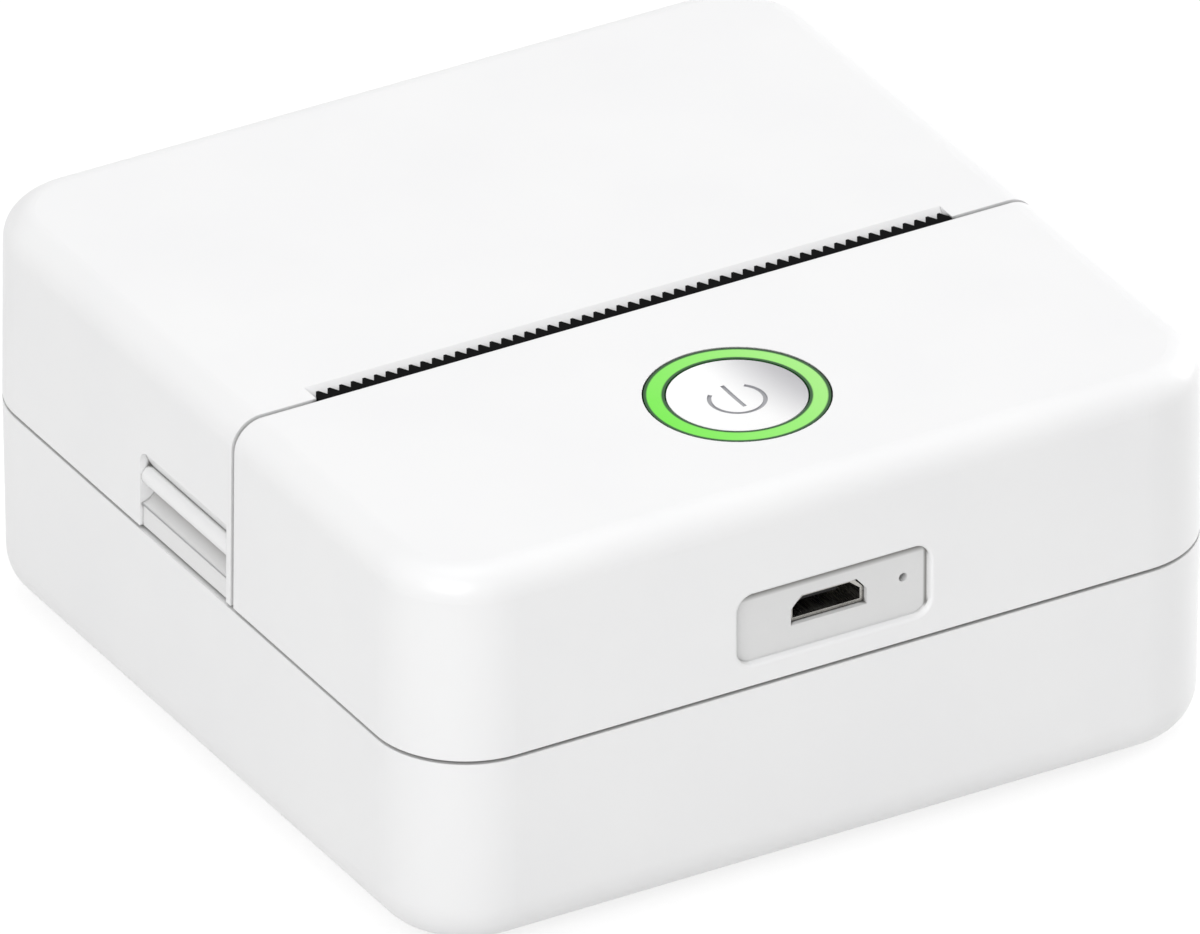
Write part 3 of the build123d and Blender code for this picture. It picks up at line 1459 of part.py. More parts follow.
# Battery pack with its plug under the board and the lead between them.
with BuildPart() as battery_pack:
    block(
        (battery_left_x, battery_right_x),
        (battery_front_y, battery_rear_y),
        (floor_top_z, floor_top_z + battery_height),
    )
    fillet(battery_pack.edges().filter_by(Axis.X), battery_corner)
battery_pack.part.label = "battery_pack"
export_step(battery_pack.part, "parts/battery_pack.step")

lead_corner = (battery_right_x + lead_bend, lead_y, lead_z)
with BuildPart() as battery_lead:
    with BuildLine():
        lead_path = FilletPolyline(
            (battery_right_x, lead_y, lead_corner[2]),
            lead_corner,
            (lead_corner[0], lead_y, board_bottom_z - plug_height),
            radius=lead_bend - seat_gap,
        )
    with BuildSketch(Plane(origin=lead_path @ 0, z_dir=lead_path % 0)):
        Circle(lead_radius)
    sweep(path=lead_path)
battery_lead.part.label = "battery_lead"
export_step(battery_lead.part, "parts/battery_lead.step")

with BuildPart() as battery_plug:
    block(
        (lead_corner[0] - plug_width / 2, lead_corner[0] + plug_width / 2),
        (lead_y - plug_depth / 2, lead_y + plug_depth / 2),
        (board_bottom_z - plug_height, board_bottom_z),
    )
battery_plug.part.label = "battery_plug"
export_step(battery_plug.part, "parts/battery_plug.step")


# Chips soldered on the board.
with BuildPart() as board_chips:
    block(
        (processor_x - processor_size / 2, processor_x + processor_size / 2),
        (processor_y - processor_size / 2, processor_y + processor_size / 2),
        (board_top_z, board_top_z + processor_height),
    )
    block(
        (driver_x - driver_width / 2, driver_x + driver_width / 2),
        (driver_y - driver_length / 2, driver_y + driver_length / 2),
        (board_top_z, board_top_z + processor_height),
    )
board_chips.part.label = "board_chips"
export_step(board_chips.part, "parts/board_chips.step")

with BuildPart() as radio_module:
    block(
        (radio_left_x, radio_right_x),
        (radio_y - radio_width / 2, radio_y + radio_width / 2),
        (board_top_z, board_top_z + radio_height),
    )
radio_module.part.label = "radio_module"
export_step(radio_module.part, "parts/radio_module.step")

# Sensor that sees whether paper lies on the guide.
sensor_top_z = platen_z - platen_radius - guide_clearance - guide_thickness
with BuildPart() as paper_sensor:
    block(
        (sensor_x - sensor_length / 2, sensor_x + sensor_length / 2),
        (platen_y - sensor_width / 2, platen_y + sensor_width / 2),
        (sensor_top_z - sensor_height, sensor_top_z),
    )
paper_sensor.part.label = "paper_sensor"
export_step(paper_sensor.part, "parts/paper_sensor.step")


# Screws, each with its head and shank.
with BuildPart() as case_screws:
    for side in (-1, 1):
        head_top = column_top - column_web
        post(side * case_screw_x, case_screw_y, screw_head_radius, (head_top - screw_head_height, head_top))
        post(side * case_screw_x, case_screw_y, screw_radius, (head_top, head_top + case_screw_length))
case_screws.part.label = "case_screws"
export_step(case_screws.part, "parts/case_screws.step")

with BuildPart() as board_screws:
    for side in (-1, 1):
        for screw_y in board_screw_ys:
            post(
                side * board_screw_x, screw_y, screw_head_radius,
                (board_bottom_z - screw_head_height, board_bottom_z),
            )
            post(
                side * board_screw_x, screw_y, screw_radius,
                (board_bottom_z, board_bottom_z + board_screw_length),
            )
board_screws.part.label = "board_screws"
export_step(board_screws.part, "parts/board_screws.step")

with BuildPart() as frame_screws:
    seat_z = frame_tab_z + frame_tab_thickness
    for side in (-1, 1):
        for tab_y in frame_tab_ys:
            post(side * frame_tab_x, tab_y, screw_head_radius, (seat_z, seat_z + screw_head_height))
            post(side * frame_tab_x, tab_y, screw_radius, (seat_z - frame_screw_length, seat_z))
frame_screws.part.label = "frame_screws"
export_step(frame_screws.part, "parts/frame_screws.step")

with BuildPart() as cradle_screws:
    seat_z = cradle_tab_z + cradle_tab_thickness
    for side in (-1, 1):
        cradle_screw_x = side * (cradle_half + cradle_wall + cradle_screw_offset)
        post(cradle_screw_x, roll_y, screw_head_radius, (seat_z, seat_z + screw_head_height))
        post(cradle_screw_x, roll_y, screw_radius, (seat_z - frame_screw_length, seat_z))
cradle_screws.part.label = "cradle_screws"
export_step(cradle_screws.part, "parts/cradle_screws.step")

with BuildPart() as holder_screws:
    for side in (-1, 1):
        post(
            side * holder_screw_x, holder_screw_y, screw_head_radius,
            (holder_plate_z - screw_head_height, holder_plate_z),
        )
        post(
            side * holder_screw_x, holder_screw_y, screw_radius,
            (holder_plate_z, holder_plate_z + holder_screw_length - seat_gap),
        )
holder_screws.part.label = "holder_screws"
export_step(holder_screws.part, "parts/holder_screws.step")

with BuildPart() as motor_screws:
    for offset in (-motor_screw_offset, motor_screw_offset):
        screw_axis = (motor_axis[0], motor_axis[1] + offset)
        rod(
            (frame_plate_outer_x, frame_plate_outer_x + motor_screw_head_height),
            screw_axis, motor_screw_head_radius,
        )
        rod((frame_plate_outer_x - motor_screw_length, frame_plate_outer_x), screw_axis, motor_screw_radius)
motor_screws.part.label = "motor_screws"
export_step(motor_screws.part, "parts/motor_screws.step")

print(f"Widest paper: {paper_width:.1f} mm. Largest roll: {2 * roll_radius:.1f} mm across.")
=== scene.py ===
import math

import bpy
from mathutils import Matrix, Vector


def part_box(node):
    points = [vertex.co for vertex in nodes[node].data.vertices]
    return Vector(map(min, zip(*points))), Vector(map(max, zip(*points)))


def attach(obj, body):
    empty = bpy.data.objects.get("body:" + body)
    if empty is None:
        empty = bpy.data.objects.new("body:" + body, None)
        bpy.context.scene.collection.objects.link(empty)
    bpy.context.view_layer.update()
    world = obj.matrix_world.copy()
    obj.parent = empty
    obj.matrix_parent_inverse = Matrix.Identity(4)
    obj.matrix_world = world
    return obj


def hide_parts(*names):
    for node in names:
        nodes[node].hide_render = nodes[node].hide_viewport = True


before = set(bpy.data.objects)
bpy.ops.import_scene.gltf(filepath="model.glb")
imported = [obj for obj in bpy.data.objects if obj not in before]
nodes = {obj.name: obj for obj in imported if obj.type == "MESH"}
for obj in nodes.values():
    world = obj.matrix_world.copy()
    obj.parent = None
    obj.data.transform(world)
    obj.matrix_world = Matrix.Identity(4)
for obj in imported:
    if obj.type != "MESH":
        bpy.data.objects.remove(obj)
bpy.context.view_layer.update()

bpy.context.scene.view_settings.view_transform = "Standard"

# The floor is pale paperboard, matt and with a faint fibre mottle.
# To the camera, and in gloss, it is mostly white by its own light, so that the background
# is white and only a faint shadow of the printer shows on it.
MM = 0.001  # one millimetre in metres


def linear(hex_colour):
    """An sRGB hex colour as linear RGBA."""
    channels = [int(hex_colour[start:start + 2], 16) / 255 for start in (1, 3, 5)]
    return tuple(
        value / 12.92 if value <= 0.04045 else ((value + 0.055) / 1.055) ** 2.4 for value in channels
    ) + (1.0,)


def new_material(name):
    """An empty node material, as (material, tree, output, object coordinates)."""
    material = bpy.data.materials.new(name)
    material.use_nodes = True
    tree = material.node_tree
    tree.nodes.clear()
    output = tree.nodes.new("ShaderNodeOutputMaterial")
    place = tree.nodes.new("ShaderNodeTexCoord").outputs["Object"]
    return material, tree, output, place


def add_node(tree, kind, links=None, values=None, **settings):
    """A node with its settings, the values of its sockets and the links into them."""
    node = tree.nodes.new(kind)
    for name, value in settings.items():
        setattr(node, name, value)
    for socket, value in (values or {}).items():
        node.inputs[socket].default_value = value
    for socket, source in (links or {}).items():
        tree.links.new(source, node.inputs[socket])
    return node


def differs_when_seen(tree, output, lighting, seen):
    """Lets one shader light the scene, and shows another to the camera, in gloss and through glass."""
    rays = add_node(tree, "ShaderNodeLightPath")
    mirrored = add_node(
        tree, "ShaderNodeMath",
        {0: rays.outputs["Is Glossy Ray"], 1: rays.outputs["Is Transmission Ray"]}, operation="MAXIMUM",
    )
    straight_or_mirrored = add_node(
        tree, "ShaderNodeMath",
        {0: rays.outputs["Is Camera Ray"], 1: mirrored.outputs[0]}, operation="MAXIMUM",
    )
    mix = add_node(
        tree, "ShaderNodeMixShader",
        {0: straight_or_mirrored.outputs[0], 1: lighting.outputs[0], 2: seen.outputs[0]},
    )
    tree.links.new(mix.outputs[0], output.inputs[0])


FLOOR_SIZE = 6000
FLOOR_COLOUR = "#E8E8E8"
FLOOR_FIBRE_COLOUR = "#E2E2E1"
FLOOR_FIBRE_SIZE = 1.5
FLOOR_OWN_LIGHT = 0.80
FLOOR_SHADOW_SHARE = 0.25

floor_material, tree, output, place = new_material("matt paperboard")
fibres = add_node(
    tree, "ShaderNodeTexNoise", {"Vector": place},
    {"Scale": 1 / (FLOOR_FIBRE_SIZE * MM), "Detail": 2.0},
)
board_colour = add_node(
    tree, "ShaderNodeMix", {"Factor": fibres.outputs["Fac"]},
    {6: linear(FLOOR_COLOUR), 7: linear(FLOOR_FIBRE_COLOUR)}, data_type="RGBA",
)
paper = add_node(tree, "ShaderNodeBsdfDiffuse", {"Color": board_colour.outputs[2]})
shadow_part = add_node(
    tree, "ShaderNodeBsdfDiffuse", None, {"Color": (FLOOR_SHADOW_SHARE,) * 3 + (1.0,)},
)
own_light = add_node(tree, "ShaderNodeEmission", None, {"Strength": FLOOR_OWN_LIGHT})
shown = add_node(
    tree, "ShaderNodeAddShader", {0: shadow_part.outputs[0], 1: own_light.outputs[0]},
)
differs_when_seen(tree, output, paper, shown)

floor_mesh = bpy.data.meshes.new("floor")
half = FLOOR_SIZE / 2 * MM
floor_mesh.from_pydata(
    [(-half, -half, 0), (half, -half, 0), (half, half, 0), (-half, half, 0)], [], [(0, 1, 2, 3)]
)
floor_mesh.materials.append(floor_material)
floor = bpy.data.objects.new("floor", floor_mesh)
bpy.context.scene.collection.objects.link(floor)

# The camera stands far off with a long lens, because the photo's lines run parallel.
# It looks 30 degrees down, from 30 degrees left of the front.
TURN_LEFT = math.radians(-30)
LOOK_DOWN = math.radians(30)
CAMERA_DISTANCE = 3000
CAMERA_REACH = 20000
PIXELS_PER_MM = 11.19
PHOTO_WIDTH = 1200
PHOTO_HEIGHT = 934
SENSOR_WIDTH = 36.0
CENTRE_POINT = Vector((0, 0, 20.8)) * MM
CENTRE_PIXEL = (598.97, 456.44)

away = Vector((
    math.sin(TURN_LEFT) * math.cos(LOOK_DOWN),
    -math.cos(TURN_LEFT) * math.cos(LOOK_DOWN),
    math.sin(LOOK_DOWN),
))
camera_turn = away.to_track_quat("Z", "Y")
to_right = camera_turn @ Vector((1, 0, 0))
to_top = camera_turn @ Vector((0, 1, 0))
target = (
    CENTRE_POINT
    + to_right * ((PHOTO_WIDTH / 2 - CENTRE_PIXEL[0]) / PIXELS_PER_MM * MM)
    - to_top * ((PHOTO_HEIGHT / 2 - CENTRE_PIXEL[1]) / PIXELS_PER_MM * MM)
)
camera_data = bpy.data.cameras.new("camera")
camera_data.sensor_width = SENSOR_WIDTH
camera_data.lens = PIXELS_PER_MM * CAMERA_DISTANCE * SENSOR_WIDTH / PHOTO_WIDTH
camera_data.clip_end = CAMERA_REACH * MM
camera = bpy.data.objects.new("camera", camera_data)
camera.location = target + away * (CAMERA_DISTANCE * MM)
camera.rotation_euler = camera_turn.to_euler()
bpy.context.scene.collection.objects.link(camera)
bpy.context.scene.camera = camera

# The studio is a tent of white cloth, dim near the floor and brighter overhead, and plain white
# to the camera and in gloss. A large soft box at the front left lights the rounded edges, one at
# the right draws the right edge, and a weak one hangs overhead.
TENT_LOW = 0.30
TENT_TOP = 1.13

world = bpy.data.worlds.new("tent")
bpy.context.scene.world = world
world.use_nodes = True
tree = world.node_tree
tree.nodes.clear()
output = tree.nodes.new("ShaderNodeOutputWorld")
direction = add_node(tree, "ShaderNodeTexCoord")
split = add_node(tree, "ShaderNodeSeparateXYZ", {0: direction.outputs["Generated"]})
height = add_node(
    tree, "ShaderNodeMapRange", {"Value": split.outputs["Z"]}, {"To Min": TENT_LOW, "To Max": TENT_TOP},
)
tent_light = add_node(tree, "ShaderNodeBackground", {"Strength": height.outputs[0]})
white = add_node(tree, "ShaderNodeBackground", None, {"Strength": 1.0})
differs_when_seen(tree, output, tent_light, white)


def soft_box(name, azimuth, elevation, distance, size, share):
    """A square lamp that faces the printer: angles in degrees, distance and size in mm.

    Share sets its strength against the tent's."""
    data = bpy.data.lights.new(name, "AREA")
    data.shape = "SQUARE"
    data.size = size * MM
    data.energy = share * math.pi ** 2 * (distance * MM) ** 2
    lamp = bpy.data.objects.new(name, data)
    side = math.radians(azimuth)
    rise = math.radians(elevation)
    outward = Vector((
        math.sin(side) * math.cos(rise), -math.cos(side) * math.cos(rise), math.sin(rise),
    ))
    lamp.location = CENTRE_POINT + outward * (distance * MM)
    lamp.rotation_euler = outward.to_track_quat("Z", "Y").to_euler()
    bpy.context.scene.collection.objects.link(lamp)


soft_box("key_box", azimuth=-47, elevation=30, distance=1200, size=700, share=0.425)
soft_box("right_box", azimuth=100, elevation=15, distance=1200, size=600, share=0.50)
soft_box("ceiling_box", azimuth=0, elevation=90, distance=1200, size=800, share=0.16)

# The case is three shells of white ABS, injection-moulded in a polished tool: softly glossy walls
# with small edge radii. Underside, recess and finger grips come from spark-eroded steel, so they
# are matt, with a grain drawn coarser than real. Grey painted shade darkens the seams and hollows,
# and lies in bands along the recess's top and right edges and under the grips' ridges.
ABS_COLOUR = "#EFEFEF"
ABS_SHADE = "#EAEAEB"
ABS_ROUGHNESS = 0.32
ABS_IOR = 1.54
ABS_EDGE_RADIUS = 0.12
SHRINK_SIZE = 14.0
POLISH_SIZE = 0.35
POLISH_DEPTH = 0.002
GLOSS_SPREAD = 0.15
UNDERSIDE_COLOUR = "#E2E2E2"
# The recess's grey is partly its matt eroded skin and partly painted shade of the recess.
RECESS_MATT_AND_SHADE_COLOUR = "#DCDCDC"
GRIP_COLOUR = "#E6E6E6"
ERODED_ROUGHNESS = 0.62
ERODED_GRAIN = 0.22
ERODED_DEPTH = 0.018
ERODED_BORDER = 0.06
CREVICE_SHADE_REACH = 0.7
CREVICE_SHADE_RAYS = 8
EDGE_RAYS = 4
# The seam colours are painted shade for seams and hollows, found by ambient occlusion.
LEVEL_SEAM_SHADE_COLOUR = "#DADAD9"
UPPER_SEAM_SHADE_COLOUR = "#6C6B69"
CREVICE_SHADE_OPEN = 0.62
CREVICE_SHADE_CLOSED = 0.38
# Bands of painted shade along the recess's top and right edges and under the grips' ridges: widths in mm
# by axis.
RECESS_SHADE_WIDTHS = {0: 0.4, 2: 0.85}
RECESS_SHADE_COLOUR = "#868583"
GRIP_SHADE_WIDTHS = {2: 1.1}
GRIP_SHADE_COLOUR = "#B9B8B7"
SHADE_BAND_CORE = 0.35


def dress(node_name, material):
    """Gives a carried-over node its finish."""
    mesh = nodes[node_name].data
    mesh.materials.clear()
    mesh.materials.append(material)


def shell_plastic(
    name, eroded_centre, eroded_half, eroded_colour, seam_shade_colour, shade_widths=None, dust_and_shade_colour=None,
):
    """White ABS with a polished skin, and an eroded matt skin inside a box given in mm.

    Seams and hollows darken towards the seam colour, a painted shade. Painted shade also lies
    in bands along the box's far sides, as wide in mm as the widths given."""
    material, tree, output, place = new_material(name)
    drift = add_node(
        tree, "ShaderNodeTexNoise", {"Vector": place},
        {"Scale": 1 / (SHRINK_SIZE * MM), "Detail": 2.0},
    )
    polish = add_node(
        tree, "ShaderNodeTexNoise", {"Vector": place},
        {"Scale": 1 / (POLISH_SIZE * MM), "Detail": 3.0},
    )
    grain = add_node(
        tree, "ShaderNodeTexNoise", {"Vector": place},
        {"Scale": 1 / (ERODED_GRAIN * MM), "Detail": 2.0, "Roughness": 0.7},
    )
    offset = add_node(
        tree, "ShaderNodeVectorMath", {0: place},
        {1: tuple(Vector(eroded_centre) * MM)}, operation="SUBTRACT",
    )
    distance = add_node(tree, "ShaderNodeVectorMath", {0: offset.outputs[0]}, operation="ABSOLUTE")
    outside = add_node(
        tree, "ShaderNodeVectorMath", {0: distance.outputs[0]},
        {1: tuple(Vector(eroded_half) * MM)}, operation="SUBTRACT",
    )
    parts = add_node(tree, "ShaderNodeSeparateXYZ", {0: outside.outputs[0]})
    wider = add_node(
        tree, "ShaderNodeMath", {0: parts.outputs[0], 1: parts.outputs[1]}, operation="MAXIMUM",
    )
    widest = add_node(
        tree, "ShaderNodeMath", {0: wider.outputs[0], 1: parts.outputs[2]}, operation="MAXIMUM",
    )
    eroded = add_node(
        tree, "ShaderNodeMapRange", {"Value": widest.outputs[0]},
        {"From Min": ERODED_BORDER * MM, "From Max": -ERODED_BORDER * MM},
    )
    polished_colour = add_node(
        tree, "ShaderNodeMix", {"Factor": drift.outputs["Fac"]},
        {6: linear(ABS_COLOUR), 7: linear(ABS_SHADE)}, data_type="RGBA",
    )
    colour = add_node(
        tree, "ShaderNodeMix", {"Factor": eroded.outputs[0], 6: polished_colour.outputs[2]},
        {7: linear(eroded_colour)}, data_type="RGBA",
    )
    skin_colour = colour.outputs[2]
    # Painted shade in bands along the box's far sides, under the recess rim and the grips' ridges.
    if shade_widths:
        position = add_node(tree, "ShaderNodeSeparateXYZ", {0: offset.outputs[0]})
        for axis, width in shade_widths.items():
            edge = add_node(
                tree, "ShaderNodeMapRange", {"Value": position.outputs[axis]},
                {
                    "From Min": (eroded_half[axis] - width) * MM,
                    "From Max": (eroded_half[axis] - width * SHADE_BAND_CORE) * MM,
                },
            )
            dust_and_shade = add_node(
                tree, "ShaderNodeMath", {0: edge.outputs[0], 1: eroded.outputs[0]}, operation="MULTIPLY",
            )
            shaded_skin_colour = add_node(
                tree, "ShaderNodeMix", {"Factor": dust_and_shade.outputs[0], 6: skin_colour},
                {7: linear(dust_and_shade_colour)}, data_type="RGBA",
            )
            skin_colour = shaded_skin_colour.outputs[2]
    # Painted shade: where ambient occlusion finds a seam or hollow, the colour darkens towards the seam
    # colour.
    openness = add_node(
        tree, "ShaderNodeAmbientOcclusion", None, {"Distance": CREVICE_SHADE_REACH * MM}, samples=CREVICE_SHADE_RAYS,
    )
    crevice_shade = add_node(
        tree, "ShaderNodeMapRange", {"Value": openness.outputs["AO"]},
        {"From Min": CREVICE_SHADE_OPEN, "From Max": CREVICE_SHADE_CLOSED},
    )
    colour_with_crevice_shade = add_node(
        tree, "ShaderNodeMix", {"Factor": crevice_shade.outputs[0], 6: skin_colour},
        {7: linear(seam_shade_colour)}, data_type="RGBA",
    )
    polished_gloss = add_node(
        tree, "ShaderNodeMapRange", {"Value": polish.outputs["Fac"]},
        {"To Min": ABS_ROUGHNESS * (1 - GLOSS_SPREAD), "To Max": ABS_ROUGHNESS * (1 + GLOSS_SPREAD)},
    )
    gloss = add_node(
        tree, "ShaderNodeMix", {"Factor": eroded.outputs[0], 2: polished_gloss.outputs[0]},
        {3: ERODED_ROUGHNESS}, data_type="FLOAT",
    )
    rounding = add_node(
        tree, "ShaderNodeBevel", None, {"Radius": ABS_EDGE_RADIUS * MM}, samples=EDGE_RAYS,
    )
    polish_bump = add_node(
        tree, "ShaderNodeBump", {"Height": polish.outputs["Fac"], "Normal": rounding.outputs[0]},
        {"Distance": POLISH_DEPTH * MM},
    )
    eroded_bump = add_node(
        tree, "ShaderNodeBump",
        {"Height": grain.outputs["Fac"], "Strength": eroded.outputs[0], "Normal": polish_bump.outputs[0]},
        {"Distance": ERODED_DEPTH * MM},
    )
    shader = add_node(
        tree, "ShaderNodeBsdfPrincipled",
        {
            "Base Color": colour_with_crevice_shade.outputs[2], "Roughness": gloss.outputs[0],
            "Normal": eroded_bump.outputs[0],
        },
        {"IOR": ABS_IOR},
    )
    tree.links.new(shader.outputs[0], output.inputs[0])
    return material


# Middle and half size, in mm, of the boxes round the eroded faces.
UNDERSIDE = ((0, 0, 0), (60, 60, 0.95))
RECESS = ((0, -40.5, 26.35), (9.8, 0.72, 3.45))
GRIPS = ((0, 2.1, 22.05), (41.25, 7.7, 2.05))

dress("base_shell", shell_plastic(
    "white ABS with an eroded underside and painted seam shade", *UNDERSIDE, UNDERSIDE_COLOUR, LEVEL_SEAM_SHADE_COLOUR,
))
dress("front_shell", shell_plastic(
    "white ABS with an eroded recess and painted shade", *RECESS, RECESS_MATT_AND_SHADE_COLOUR, UPPER_SEAM_SHADE_COLOUR,
    RECESS_SHADE_WIDTHS, RECESS_SHADE_COLOUR,
))
dress("cover_shell", shell_plastic(
    "white ABS with eroded grips and painted shade", *GRIPS, GRIP_COLOUR, UPPER_SEAM_SHADE_COLOUR,
    GRIP_SHADE_WIDTHS, GRIP_SHADE_COLOUR,
))

# Four oblong feet of grey silicone rubber, cast flat and glued to the base.
# Cast silicone is matt and a little sticky, so it carries fine dust.
RUBBER_IOR = 1.42
DUST_PATCH_START = 0.5
DUST_PATCH_FULL = 0.8


def rubber(name, colour, dust_and_shade_colour, dust_size, grain_size, grain_depth, roughness):
    """Matt rubber with dust in patches and a fine grain, with sizes in mm."""
    material, tree, output, place = new_material(name)
    dust_and_shade = add_node(
        tree, "ShaderNodeTexNoise", {"Vector": place},
        {"Scale": 1 / (dust_size * MM), "Detail": 5.0, "Roughness": 0.65},
    )
    patches = add_node(
        tree, "ShaderNodeMapRange", {"Value": dust_and_shade.outputs["Fac"]},
        {"From Min": DUST_PATCH_START, "From Max": DUST_PATCH_FULL},
    )
    colour_mix = add_node(
        tree, "ShaderNodeMix", {"Factor": patches.outputs[0]},
        {6: linear(colour), 7: linear(dust_and_shade_colour)}, data_type="RGBA",
    )
    grain = add_node(
        tree, "ShaderNodeTexNoise", {"Vector": place},
        {"Scale": 1 / (grain_size * MM), "Detail": 2.0},
    )
    bump = add_node(
        tree, "ShaderNodeBump", {"Height": grain.outputs["Fac"]}, {"Distance": grain_depth * MM},
    )
    shader = add_node(
        tree, "ShaderNodeBsdfPrincipled",
        {"Base Color": colour_mix.outputs[2], "Normal": bump.outputs[0]},
        {"Roughness": roughness, "IOR": RUBBER_IOR},
    )
    tree.links.new(shader.outputs[0], output.inputs[0])
    return material


dress("rubber_feet", rubber(
    "cast grey silicone", colour="#8E9092", dust_and_shade_colour="#A6A7A6",
    dust_size=0.9, grain_size=0.25, grain_depth=0.02, roughness=0.75,
))

# The battery is a lithium pouch in blue PVC shrink wrap.
# The wrap is thin and glossy, and puckers in soft creases across the pack.
WRAP_COLOUR = "#2E6FB4"
WRAP_STRETCHED_COLOUR = "#3F83C6"
WRAP_ROUGHNESS = 0.28
WRAP_IOR = 1.53
CREASE_LENGTH = 9.0
CREASE_WIDTH = 1.6
CREASE_DEPTH = 0.25
CREASE_WANDER = 0.6

battery_wrap, tree, output, place = new_material("blue PVC shrink wrap")
along = add_node(
    tree, "ShaderNodeMapping", {"Vector": place},
    {"Scale": (1 / (CREASE_WIDTH * MM), 1 / (CREASE_LENGTH * MM), 1 / (CREASE_LENGTH * MM))},
)
creases = add_node(
    tree, "ShaderNodeTexNoise", {"Vector": along.outputs[0]},
    {"Scale": 1.0, "Detail": 3.0, "Distortion": CREASE_WANDER},
)
wrap_colour = add_node(
    tree, "ShaderNodeMix", {"Factor": creases.outputs["Fac"]},
    {6: linear(WRAP_COLOUR), 7: linear(WRAP_STRETCHED_COLOUR)}, data_type="RGBA",
)
crease_bump = add_node(
    tree, "ShaderNodeBump", {"Height": creases.outputs["Fac"]}, {"Distance": CREASE_DEPTH * MM},
)
shader = add_node(
    tree, "ShaderNodeBsdfPrincipled",
    {"Base Color": wrap_colour.outputs[2], "Normal": crease_bump.outputs[0]},
    {"Roughness": WRAP_ROUGHNESS, "IOR": WRAP_IOR},
)
tree.links.new(shader.outputs[0], output.inputs[0])
dress("battery_pack", battery_wrap)

# The battery's lead is stranded wire in red silicone, and ends in a white nylon plug.
# The silicone is dull and the plug is moulded, with a fine satin skin.
NYLON_IOR = 1.53
FLOW_PER_GRAIN = 20
FLOW_WANDER = 0.8


def moulded_plastic(name, colour, shade, roughness, grain_size, grain_depth, ior):
    """Plastic with colour that drifts along the flow, and a fine grain in mm in gloss and height."""
    material, tree, output, place = new_material(name)
    drift = add_node(
        tree, "ShaderNodeTexNoise", {"Vector": place},
        {"Scale": 1 / (grain_size * FLOW_PER_GRAIN * MM), "Detail": 3.0, "Distortion": FLOW_WANDER},
    )
    grain = add_node(
        tree, "ShaderNodeTexNoise", {"Vector": place},
        {"Scale": 1 / (grain_size * MM), "Detail": 3.0},
    )
    flow_colour = add_node(
        tree, "ShaderNodeMix", {"Factor": drift.outputs["Fac"]},
        {6: linear(colour), 7: linear(shade)}, data_type="RGBA",
    )
    gloss = add_node(
        tree, "ShaderNodeMapRange", {"Value": grain.outputs["Fac"]},
        {"To Min": roughness * (1 - GLOSS_SPREAD), "To Max": roughness * (1 + GLOSS_SPREAD)},
    )
    bump = add_node(
        tree, "ShaderNodeBump", {"Height": grain.outputs["Fac"]}, {"Distance": grain_depth * MM},
    )
    shader = add_node(
        tree, "ShaderNodeBsdfPrincipled",
        {"Base Color": flow_colour.outputs[2], "Roughness": gloss.outputs[0], "Normal": bump.outputs[0]},
        {"IOR": ior},
    )
    tree.links.new(shader.outputs[0], output.inputs[0])
    return material


dress("battery_lead", rubber(
    "red silicone insulation", colour="#B3201C", dust_and_shade_colour="#C24A42",
    dust_size=0.8, grain_size=0.15, grain_depth=0.01, roughness=0.55,
))
dress("battery_plug", moulded_plastic(
    "white nylon plug", colour="#E9E6DD", shade="#E0DCD1",
    roughness=0.45, grain_size=0.2, grain_depth=0.004, ior=NYLON_IOR,
))

# The main board is fibreglass under green solder mask, with copper tracks showing lighter
# through the mask and gold-plated vias where they change sides. Both are drawn two to three
# times as large as real ones, so that they show.
MASK_COLOUR = "#0E5A34"
MASK_TRACK_COLOUR = "#1F7D4B"
BARE_COLOUR = "#C9A24A"
TRACK_FIELD = 3.2
TRACK_HALF_SHARE = 0.06
TRACK_BLUR = 1.3
TRACK_HEIGHT = 0.03
VIA_FIELD = 2.4
VIA_RADIUS = 0.32
VIA_BLUR = 0.1
VIA_SCATTER = 0.7
MASK_ROUGHNESS = 0.30
EPOXY_IOR = 1.55

board_mask, tree, output, place = new_material("green solder mask on fibreglass")
flat_place = add_node(tree, "ShaderNodeMapping", {"Vector": place}, {"Scale": (1, 1, 0)})
tracks = add_node(
    tree, "ShaderNodeTexVoronoi", {"Vector": flat_place.outputs[0]},
    {"Scale": 1 / (TRACK_FIELD * MM)}, feature="DISTANCE_TO_EDGE",
)
track_mask = add_node(
    tree, "ShaderNodeMapRange", {"Value": tracks.outputs["Distance"]},
    {"From Min": TRACK_HALF_SHARE * TRACK_BLUR, "From Max": TRACK_HALF_SHARE},
)
vias = add_node(
    tree, "ShaderNodeTexVoronoi", {"Vector": flat_place.outputs[0]},
    {"Scale": 1 / (VIA_FIELD * MM), "Randomness": VIA_SCATTER}, feature="F1", distance="EUCLIDEAN",
)
via_mask = add_node(
    tree, "ShaderNodeMapRange", {"Value": vias.outputs["Distance"]},
    {
        "From Min": VIA_RADIUS / VIA_FIELD * (1 + VIA_BLUR),
        "From Max": VIA_RADIUS / VIA_FIELD * (1 - VIA_BLUR),
    },
)
mask_colour = add_node(
    tree, "ShaderNodeMix", {"Factor": track_mask.outputs[0]},
    {6: linear(MASK_COLOUR), 7: linear(MASK_TRACK_COLOUR)}, data_type="RGBA",
)
board_face = add_node(
    tree, "ShaderNodeMix", {"Factor": via_mask.outputs[0], 6: mask_colour.outputs[2]},
    {7: linear(BARE_COLOUR)}, data_type="RGBA",
)
board_bump = add_node(
    tree, "ShaderNodeBump", {"Height": track_mask.outputs[0]}, {"Distance": TRACK_HEIGHT * MM},
)
shader = add_node(
    tree, "ShaderNodeBsdfPrincipled",
    {
        "Base Color": board_face.outputs[2], "Metallic": via_mask.outputs[0],
        "Normal": board_bump.outputs[0],
    },
    {"Roughness": MASK_ROUGHNESS, "IOR": EPOXY_IOR},
)
tree.links.new(shader.outputs[0], output.inputs[0])
